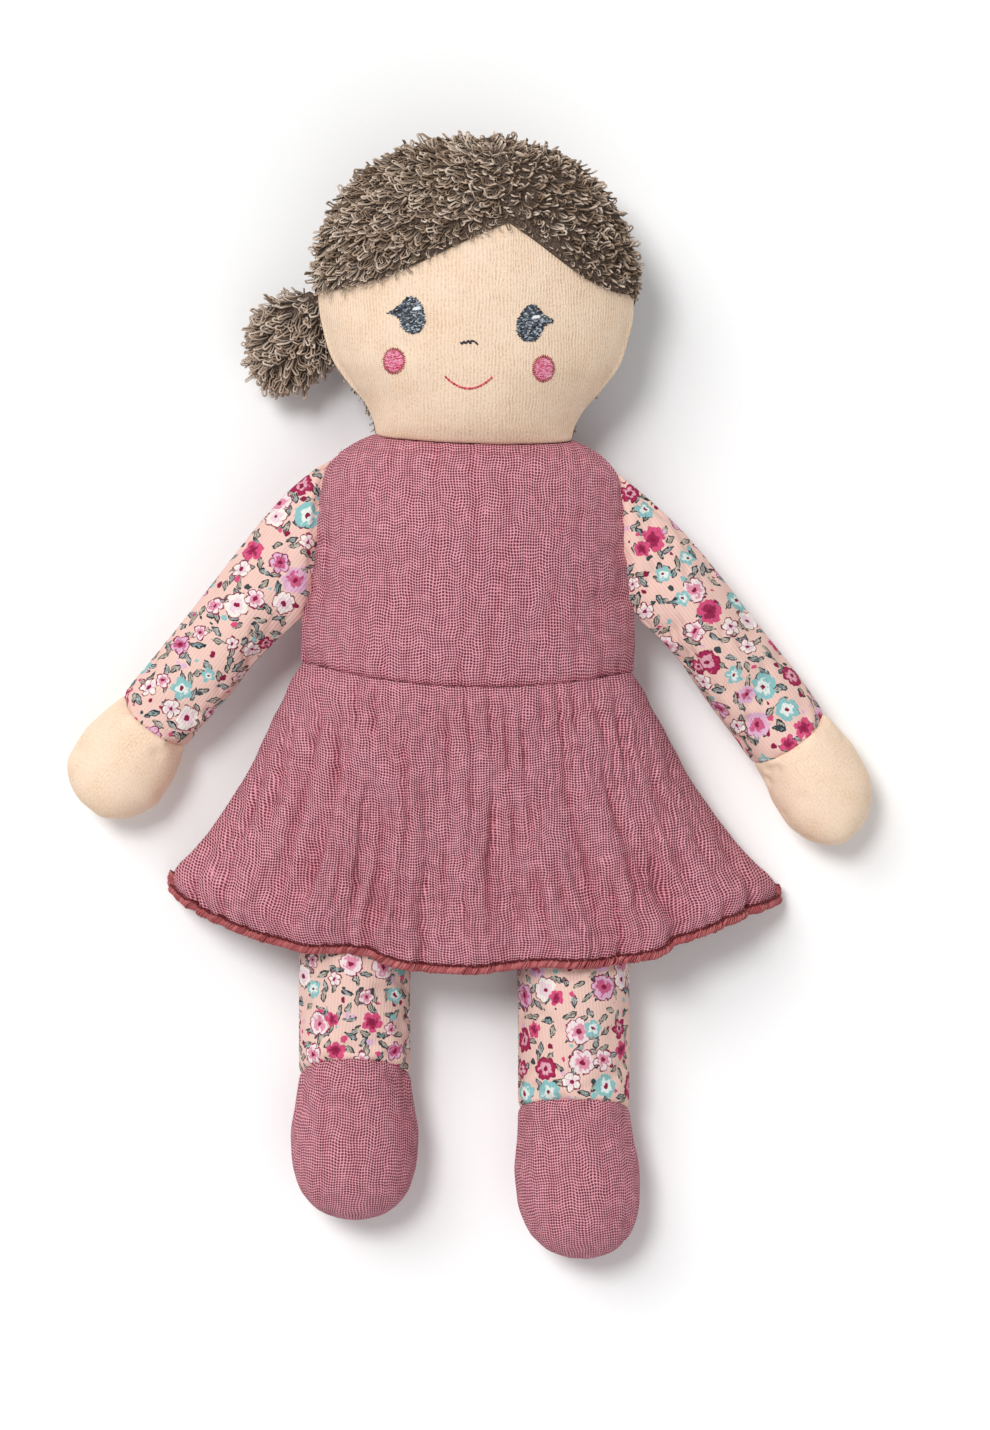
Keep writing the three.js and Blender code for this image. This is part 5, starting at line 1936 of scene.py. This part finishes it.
def scatter(skin: Skin, wanted: Wanted, spacing: float, seed: int) -> tuple[Array, Array]:
    """Strew points over a skin, none nearer to another than a spacing.

    Args:
        skin: the skin.
        wanted: tells from row and column numbers where points may be.
        spacing: the least distance between two points, in millimetres.
        seed: which pattern.

    Returns:
        The points and the outward directions there.
    """
    rng = np.random.default_rng(seed)
    corner = skin.points
    right, below = np.roll(corner, -1, axis=1)[:-1], corner[1:]
    area = np.linalg.norm(np.cross(right - corner[:-1], below - corner[:-1]), axis=-1)
    row, column = np.indices(area.shape)
    area = np.where(wanted(row, column), area, 0.0)
    tries = int(area.sum() / spacing**2 * 6)
    chosen = rng.choice(area.size, tries, p=(area / area.sum()).ravel())
    row, column = row.ravel()[chosen], column.ravel()[chosen]
    a, b = rng.uniform(0, 1, (2, tries, 1))

    def blended(values: Array) -> Array:
        """Read a grid's values at the chosen places.

        Args:
            values: the grid.

        Returns:
            The values.
        """
        after = (column + 1) % skin.columns
        top = mix(values[row, column], values[row, after], a)
        return mix(top, mix(values[row + 1, column], values[row + 1, after], a), b)

    points, directions = blended(corner), unit(blended(skin.normals()))
    kept, cells, beside = [], {}, list(product((-1, 0, 1), repeat=3))
    for index, cell in enumerate(map(tuple, np.floor(points / spacing).astype(int))):
        x, y, z = cell
        near = [other for dx, dy, dz in beside for other in cells.get((x + dx, y + dy, z + dz), ())]
        if all(np.sum((points[index] - points[other]) ** 2) >= spacing**2 for other in near):
            cells.setdefault(cell, []).append(index)
            kept.append(index)
    return points[kept], directions[kept]


@dataclass
class Pile:
    """Terry loops over a part of the hair."""

    name: str
    node: str
    body: str
    skin: Skin
    wanted: Wanted
    combed: Field
    length: float = 4.0
    width: float = 1.6
    yarn: float = 0.3
    spacing: float = 1.25
    trim: Field | None = None
    low_tone: float = 0.0
    lift: float = 0.55
    ruffle: float = 0.45
    seed: int = 1
    curls: Row = (-32, 6, 38)
    stray_share: float = 0.07
    stray_lift: float = 1.1
    crosses_neck: bool = False

    def build(self) -> Piece:
        """Plant the loops.

        Returns:
            The piece.
        """
        rng = np.random.default_rng(self.seed)
        points, normals = scatter(self.skin, self.wanted, self.spacing, self.seed)
        count = len(points)
        lie = self.combed(points) + rng.normal(0, self.ruffle, (count, 3))
        lift = self.lift * rng.uniform(0.3, 1.7, (count, 1))
        lift = lift + self.stray_lift * (rng.uniform(0, 1, (count, 1)) < self.stray_share)
        along = unit(square_to(lie, normals) + normals * lift)
        side = unit(np.cross(along, normals) + normals * rng.normal(0, 0.55, (count, 1)))
        side = square_to(side, along)
        up = np.cross(side, along)
        up = up * np.where(np.sum(up * normals, axis=1, keepdims=True) < 0, -1, 1)
        side = np.cross(along, up)
        size = rng.uniform(0.72, 1.28, (count, 1))
        if self.trim:
            size = size * self.trim(points)[:, None]
        # the roots stand on the cap's ground, a millimetre over the skin
        tone = rng.uniform(self.low_tone, 1, count)
        placed = (points + normals, side * size, along * size, up * size, tone)
        copies = Copies()
        for n, curl in enumerate(self.curls):
            template = loop_template(self.length, self.width, self.yarn, curl)
            copies.place(template, *(values[n :: len(self.curls)] for values in placed))
        piece = copies.build(self.name)
        dress(piece, Look.TERRY)
        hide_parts(self.node)
        if self.crosses_neck:
            neck_bend(piece)
        else:
            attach(piece, self.body)
        log.info("%s: %d loops", self.name, count)
        return piece


@dataclass
class Hair:
    """The doll's hair: loops combed down to the left of the parting, and tousled to the right of it."""

    head: Head
    bunch: Bunch
    parting_top_x: float = 6.0
    crown_y: float = 126.0

    def parting(self, y: Array) -> Array:
        """Where across the head the parting is at each height."""
        x, low = self.head.hairline_peak
        return mix(x, self.parting_top_x, np.clip((y - low) / (self.crown_y - low), 0, 1))

    def front(self, side: Side) -> Wanted:
        """Find which places of the head's skin belong to the fringe on one side.

        Args:
            side: which side.

        Returns:
            The function that tells it.
        """
        skin, half, split = self.head.skin, self.head.skin.columns // 2, self.head.split

        def wanted(row: Array, column: Array) -> Array:
            """Tell which places belong to it.

            Args:
                row: the places' rows.
                column: their columns.

            Returns:
                True where they do.
            """
            place = skin.points[row, column]
            beside = (place[..., 0] - self.parting(place[..., 1])) * side.value > 0
            return (row >= split) & (column < half) & beside

        return wanted

    def back(self, row: Array, column: Array) -> Array:
        """Tell which places of the head's skin belong to the back of the head, off the seams to the face.

        Args:
            row: the places' rows.
            column: their columns.

        Returns:
            True where they do.
        """
        columns = self.head.skin.columns
        off_seams = (column - columns // 2 >= 4) & (columns - column >= 9)
        return (row >= 3) & (column >= columns // 2) & ((row >= self.head.split) | off_seams)

    def on_bunch(self, row: Array, column: Array) -> Array:
        """Which places of the bunch's skin have loops: all but its root."""
        return (row >= 3) & (column >= 0)

    def trimmed_back(self, points: Array) -> Array:
        """How long the loops of the back are: short where the cap is sewn to the face along the cheeks."""
        aside = np.abs(points[:, 0] - self.head.crown_x) - mix(20.0, 33.0, smoothstep(36, 60, points[:, 1]))
        return mix(1.0, 0.5, smoothstep(0, 7, aside) * smoothstep(84, 76, points[:, 1]))

    def trimmed(self, points: Array) -> Array:
        """How long the loops of the front are: shorter along the seam of the hairline."""
        above = points[:, 1] - self.head.hairline_at(points[:, 0])
        return mix(0.62, 1.0, smoothstep(0, 6, above))

    def combed_left(self, points: Array) -> Array:
        """Comb the left fringe down and to the left, steeper towards the hairline.

        Args:
            points: the loops' places.

        Returns:
            Their directions.
        """
        near = np.clip((points[:, 1] - self.head.hairline_at(points[:, 0])) / 26, 0, 1)
        angle = np.radians(mix(252, 225, near))
        return np.stack([np.cos(angle), np.sin(angle), 0 * angle], axis=1)

    def combed_right(self, points: Array) -> Array:
        """Directions of the right fringe: down and a little outward."""
        return np.broadcast_to([0.25, -0.9, 0.0], points.shape)

    def combed_back(self, points: Array) -> Array:
        """Directions of the back: down from the crown, and outward near the neck."""
        aside = (points[:, 0] - self.head.crown_x) * 0.008
        return np.stack([aside, np.full_like(aside, -1), np.zeros_like(aside)], axis=1)

    def combed_bunch(self, points: Array) -> Array:
        """Directions of the bunch: away from its root."""
        return unit(points - np.array([*self.bunch.root, self.bunch.root_z]))

    def build(self) -> list[Piece]:
        """Plant all the loops.

        Returns:
            The pieces.
        """
        skin, left, right = self.head.skin, self.front(Side.LEFT), self.front(Side.RIGHT)
        piles = (
            Pile("fringe_left_loops", "fringe_left", "head", skin, left, self.combed_left,
                length=5.2, trim=self.trimmed, lift=0.5, ruffle=0.4, seed=51),
            Pile("fringe_right_loops", "fringe_right", "head", skin, right, self.combed_right,
                trim=self.trimmed, spacing=1.45, lift=0.85, ruffle=0.8, seed=52),
            Pile("hair_back_loops", "hair_back", "head", skin, self.back, self.combed_back,
                trim=self.trimmed_back, spacing=1.5, seed=53, crosses_neck=True),
            Pile("bunch_loops", "bunch_cover", "bunch", self.bunch.skin, self.on_bunch, self.combed_bunch,
                length=5.2, lift=0.6, spacing=1.35, low_tone=0.3, seed=54),
        )
        return [pile.build() for pile in piles]


@dataclass
class Embroidery:
    """The sewn face: satin eyes with glints, round cheeks, a nose scribble and a back-stitched mouth."""

    ground: Piece
    eyes: Row = (0.4, 70.9)
    eye_spacing: float = 35.2
    eye_slope: float = 2.5
    eye_half_width: float = 4.05
    eye_half_height: float = 5.7
    lash_length: float = 3.4
    cheeks: Row = (-0.3, 57.6)
    cheek_spacing: float = 44.4
    cheek_slope: float = 2.4
    cheek_radius: float = 3.4
    cheek_half_height: float = 3.9
    mouth: Row = (-0.2, 54.0)
    mouth_width: float = 14.2
    mouth_sag: float = 3.6
    nose: Row = (-0.1, 63.9)
    nose_width: float = 5.2
    thread: float = 0.42
    row_pitch: float = 0.78
    stitch_pitch: float = 0.6
    half_stitch: float = 0.42

    def __post_init__(self) -> None:
        """Make the search tree of the face."""
        self.tree = surface_of(self.ground)

    def on_face(self, x: float, y: float) -> tuple[Array, Array]:
        """Find the point of the face over a place of the table.

        Args:
            x: the place across.
            y: the place up the picture.

        Returns:
            The point and its outward direction.
        """
        hit, normal, _, _ = self.tree.ray_cast(Vector((x * MM, y * MM, 0.2)), Vector((0, 0, -1)))
        normal = np.array(normal)
        return np.array(hit) / MM, normal * (1 if normal[2] > 0 else -1)

    def sew(self, name: str, node: str, strokes: Sequence, look: Look, lift: float = 0.12) -> Piece:
        """Sew strokes on the face.

        Args:
            name: the piece's name.
            node: the CAD node that it replaces.
            strokes: each one x, y of its start and its end, the thread's width and its tone.
            look: the thread's finish.
            lift: how high the thread lies over the cloth.

        Returns:
            The piece.
        """
        copies, rows = Copies(), []
        for x0, y0, x1, y1, wide, tone in strokes:
            start, first = self.on_face(x0, y0)
            end, second = self.on_face(x1, y1)
            up = unit(first + second)
            along = end - start
            middle, side = (start + end) / 2 + up * lift, np.cross(unit(along), up) * wide
            rows.append((middle, side, along, up * wide, tone))
        origin, side, along, up, tone = (np.array(list(column)) for column in zip(*rows))
        length = np.linalg.norm(along, axis=1, keepdims=True)
        # each stitch reaches a little into the cloth at both ends
        copies.place(stitch_template(1.0, 1.0), origin, side, along * (1 + 0.3 / length), up, tone)
        piece = copies.build(name)
        dress(piece, look)
        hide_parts(node)
        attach(piece, "head")
        return piece

    def speckle(self, inside: Callable, x: float, y: float, reach: float, seed: int) -> list:
        """Fill a shape with short satin stitches that lie a little crosswise, so that the thread glitters.

        Args:
            inside: tells whether a place, measured from the middle, is in the shape.
            x: middle across.
            y: middle up.
            reach: half the size of the square that holds the shape.
            seed: which pattern.

        Returns:
            The strokes.
        """
        rng = np.random.default_rng(seed)
        strokes = []
        for row, up in enumerate(np.arange(-reach, reach, self.thread * self.row_pitch)):
            for across in np.arange(-reach + (row % 2) * 0.3, reach, self.stitch_pitch):
                a, b = across + rng.uniform(-0.1, 0.1), up + rng.uniform(-0.1, 0.1)
                if not inside(a, b):
                    continue
                turn = rng.normal(0.15, 0.5)
                dx, dy = self.half_stitch * math.cos(turn), self.half_stitch * math.sin(turn)
                a, b, tone = x + a, y + b, rng.uniform(0, 1)
                strokes.append((a - dx, b - dy, a + dx, b + dy, self.thread, tone))
        return strokes

    def eye(self, side: Side) -> list[Piece]:
        """Sew an eye with its lash and its glint.

        Args:
            side: which eye.

        Returns:
            The eye and the glint.
        """
        sign, word = side.value, side.word
        x = self.eyes[0] + sign * self.eye_spacing / 2
        y = self.eyes[1] - sign * self.eye_slope / 2
        rx, ry, lash = self.eye_half_width, self.eye_half_height, self.lash_length

        def inside(a: float, b: float) -> bool:
            """Tell whether a place is in the egg of the eye, which leans inwards at its foot, or in its lash.

            Args:
                a: how far it lies to the right of the eye's middle.
                b: how far it lies above it.

            Returns:
                True if it is.
            """
            lean = a - sign * 0.09 * b
            egg = (lean / (rx * (1.0 - 0.11 * b / ry))) ** 2 + (b / ry) ** 2 < 0.92
            out = (a * sign - rx * 0.62) / (rx * 0.38 + lash)
            return egg or 0 < out < 1 and abs(b - mix(1.2, 0.7, out)) < 2.7 * (1 - out) ** 1.25

        strokes = self.speckle(inside, x, y, rx + lash, 63 + sign)
        pieces = [self.sew(f"{word}_eye_satin", f"{word}_eye", strokes, Look.EYE_THREAD)]
        rng = np.random.default_rng(61 + sign)
        gx, gy = x + 0.42 * rx, y + 0.33 * ry
        name, glint = f"{word}_eye_glint", []
        for n in (-1, 0, 1):
            low, far = gy + 0.3 * n, gx + 1.3 - 0.25 * abs(n)
            glint.append((gx - 1.3 + 0.2 * n, low - 0.1, far, low + 0.2, self.thread, rng.uniform(0.3, 1)))
        return [*pieces, self.sew(f"{name}_satin", name, glint, Look.GLINT_THREAD, 0.35)]

    def cheek(self, side: Side) -> Piece:
        """Sew a round cheek: upright stitches within a deeper rim.

        Args:
            side: which cheek.

        Returns:
            The piece.
        """
        sign, word = side.value, side.word
        x = self.cheeks[0] + sign * self.cheek_spacing / 2
        y = self.cheeks[1] - sign * self.cheek_slope / 2
        r, tall = self.cheek_radius, self.cheek_half_height
        rng = np.random.default_rng(71 + sign)
        fill = self.speckle(lambda a, b: (a / r) ** 2 + (b / tall) ** 2 < 0.62, x, y, tall, 73 + sign)
        strokes = [(*stroke[:5], 0.3 + 0.8 * stroke[5]) for stroke in fill]
        for turn in np.linspace(0, 2 * math.pi, 40, endpoint=False):
            c, d = r * math.cos(turn), tall * math.sin(turn)
            far = rng.uniform(0.96, 1.05)
            start, end = (x + 0.78 * c, y + 0.78 * d), (x + far * c, y + far * d)
            strokes.append((*start, *end, self.thread * 0.95, rng.uniform(0, 0.22)))
        return self.sew(f"{word}_cheek_satin", f"{word}_cheek", strokes, Look.CHEEK_THREAD)

    def mouth_line(self) -> Piece:
        """Sew the mouth, an arc of back stitches.

        Returns:
            The piece.
        """
        share = np.linspace(-1, 1, 19)
        x = self.mouth[0] + share * self.mouth_width / 2
        y = self.mouth[1] - self.mouth_sag * (1 - share**2)
        ends = zip(x[:-1], y[:-1], mix(x[:-1], x[1:], 0.72), mix(y[:-1], y[1:], 0.72))
        strokes = [(*stitch, 0.72 + 0.16 * (i % 2), 0.12 + 0.3 * (i % 3)) for i, stitch in enumerate(ends)]
        return self.sew("mouth_back_stitch", "mouth_stitches", strokes, Look.MOUTH_THREAD, 0.05)

    def nose_scribble(self) -> Piece:
        """Sew the nose, a short zigzag of thin thread.

        Returns:
            The piece.
        """
        share = np.array([-0.5, -0.42, -0.3, -0.22, -0.05, 0.06, 0.1, 0.3, 0.5])
        lift = np.array([0.1, -0.5, 0.45, -0.35, 0.65, -0.4, 0.6, 0.3, -0.65])
        x, y = self.nose[0] + share * self.nose_width, self.nose[1] + lift
        strokes = [(x[i], y[i], x[i + 1], y[i + 1], 0.72, 0.15) for i in range(len(x) - 1)]
        return self.sew("nose_scribble_stitch", "nose_stitches", strokes, Look.NOSE_THREAD, 0.05)

    def build(self) -> list[Piece]:
        """Sew the whole face.

        Returns:
            The pieces.
        """
        made = []
        for side in Side:
            made += [*self.eye(side), self.cheek(side)]
        return [*made, self.mouth_line(), self.nose_scribble()]


# ---- the room


@dataclass
class Studio:
    """The white table, the camera over it and the soft light from the upper left."""

    middle: Row = (7.5, -46.5)
    view_height: float = 429.0
    camera_height: float = 2500.0
    subject_height: float = 25.0
    table: float = 4000.0
    under: float = 3.2
    sky_level: float = 0.35
    sensor: float = 36.0
    # each lamp: its name, its level, the direction that it comes from and its softness in degrees
    suns: tuple = (("window", 0.4, (-0.32, 0.36, 1.1), 18.0), ("low_window", 0.2, (-0.66, 0.7, 1.0), 28.0),
        ("bounce", 0.12, (0.3, -0.5, 1.0), 50.0))

    def build(self) -> None:
        """Set the table, the camera and the lamps."""
        bpy.ops.mesh.primitive_plane_add(size=self.table * MM)
        table = bpy.context.object
        table.name = "table_top"
        # the tips of the loops and the hem reach a little below the flat of the back
        table.location.z = -self.under * MM
        table.data.materials.append(Look.PAPER.material)
        camera = bpy.data.cameras.new("camera")
        distance = self.camera_height - self.subject_height
        camera.sensor_width = self.sensor
        camera.lens = self.sensor * distance / self.view_height
        camera.clip_start, camera.clip_end = 0.1, 20
        holder = bpy.data.objects.new("camera", camera)
        bpy.context.scene.collection.objects.link(holder)
        holder.location = (self.middle[0] * MM, self.middle[1] * MM, self.camera_height * MM)
        bpy.context.scene.camera = holder
        for name, level, comes_from, softness in self.suns:
            direction = Vector(comes_from).normalized()
            light = bpy.data.lights.new(name, "SUN")
            light.energy = level * math.pi / direction.z
            light.angle = math.radians(softness)
            lamp = bpy.data.objects.new(name, light)
            bpy.context.scene.collection.objects.link(lamp)
            lamp.rotation_euler = direction.to_track_quat("Z", "Y").to_euler()
        world = bpy.data.worlds.new("room")
        world.use_nodes = True
        sky = world.node_tree.nodes["Background"].inputs
        sky["Color"].default_value, sky["Strength"].default_value = srgb("ffffff"), self.sky_level
        bpy.context.scene.world = world
        bpy.context.scene.view_settings.view_transform = "Standard"


def main() -> None:
    """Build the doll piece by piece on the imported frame."""
    logging.basicConfig(level=logging.INFO, format="%(name)s %(message)s")
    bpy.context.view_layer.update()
    Studio().build()
    torso = Torso().build()
    log.info("%s", torso.name)
    head = Head()
    for piece in head.build():
        log.info("%s", piece.name)
    bunch = Bunch()
    log.info("%s", bunch.build().name)
    parts = (
        Arm(Side.LEFT),
        Arm(Side.RIGHT, offset=410.0, shoulder=(47.5, 5.5), edges=RIGHT_ARM, hand_edges=RIGHT_HAND),
        Leg(Side.LEFT, offset=830.0, seam_bow=4.5, shoe_half_width=19.2),
        Leg(Side.RIGHT, offset=1270.0, length=92.0, ankle_x=31.2, shoe_length=45.2, shoe_shift=2.4),
        Skirt(),
        Hair(head, bunch),
        Embroidery(bpy.data.objects["head_velour"]),
    )
    for part in parts:
        for piece in part.build():
            log.info("%s: %d faces", piece.name, len(piece.data.polygons))


if __name__ == "__main__":
    main()
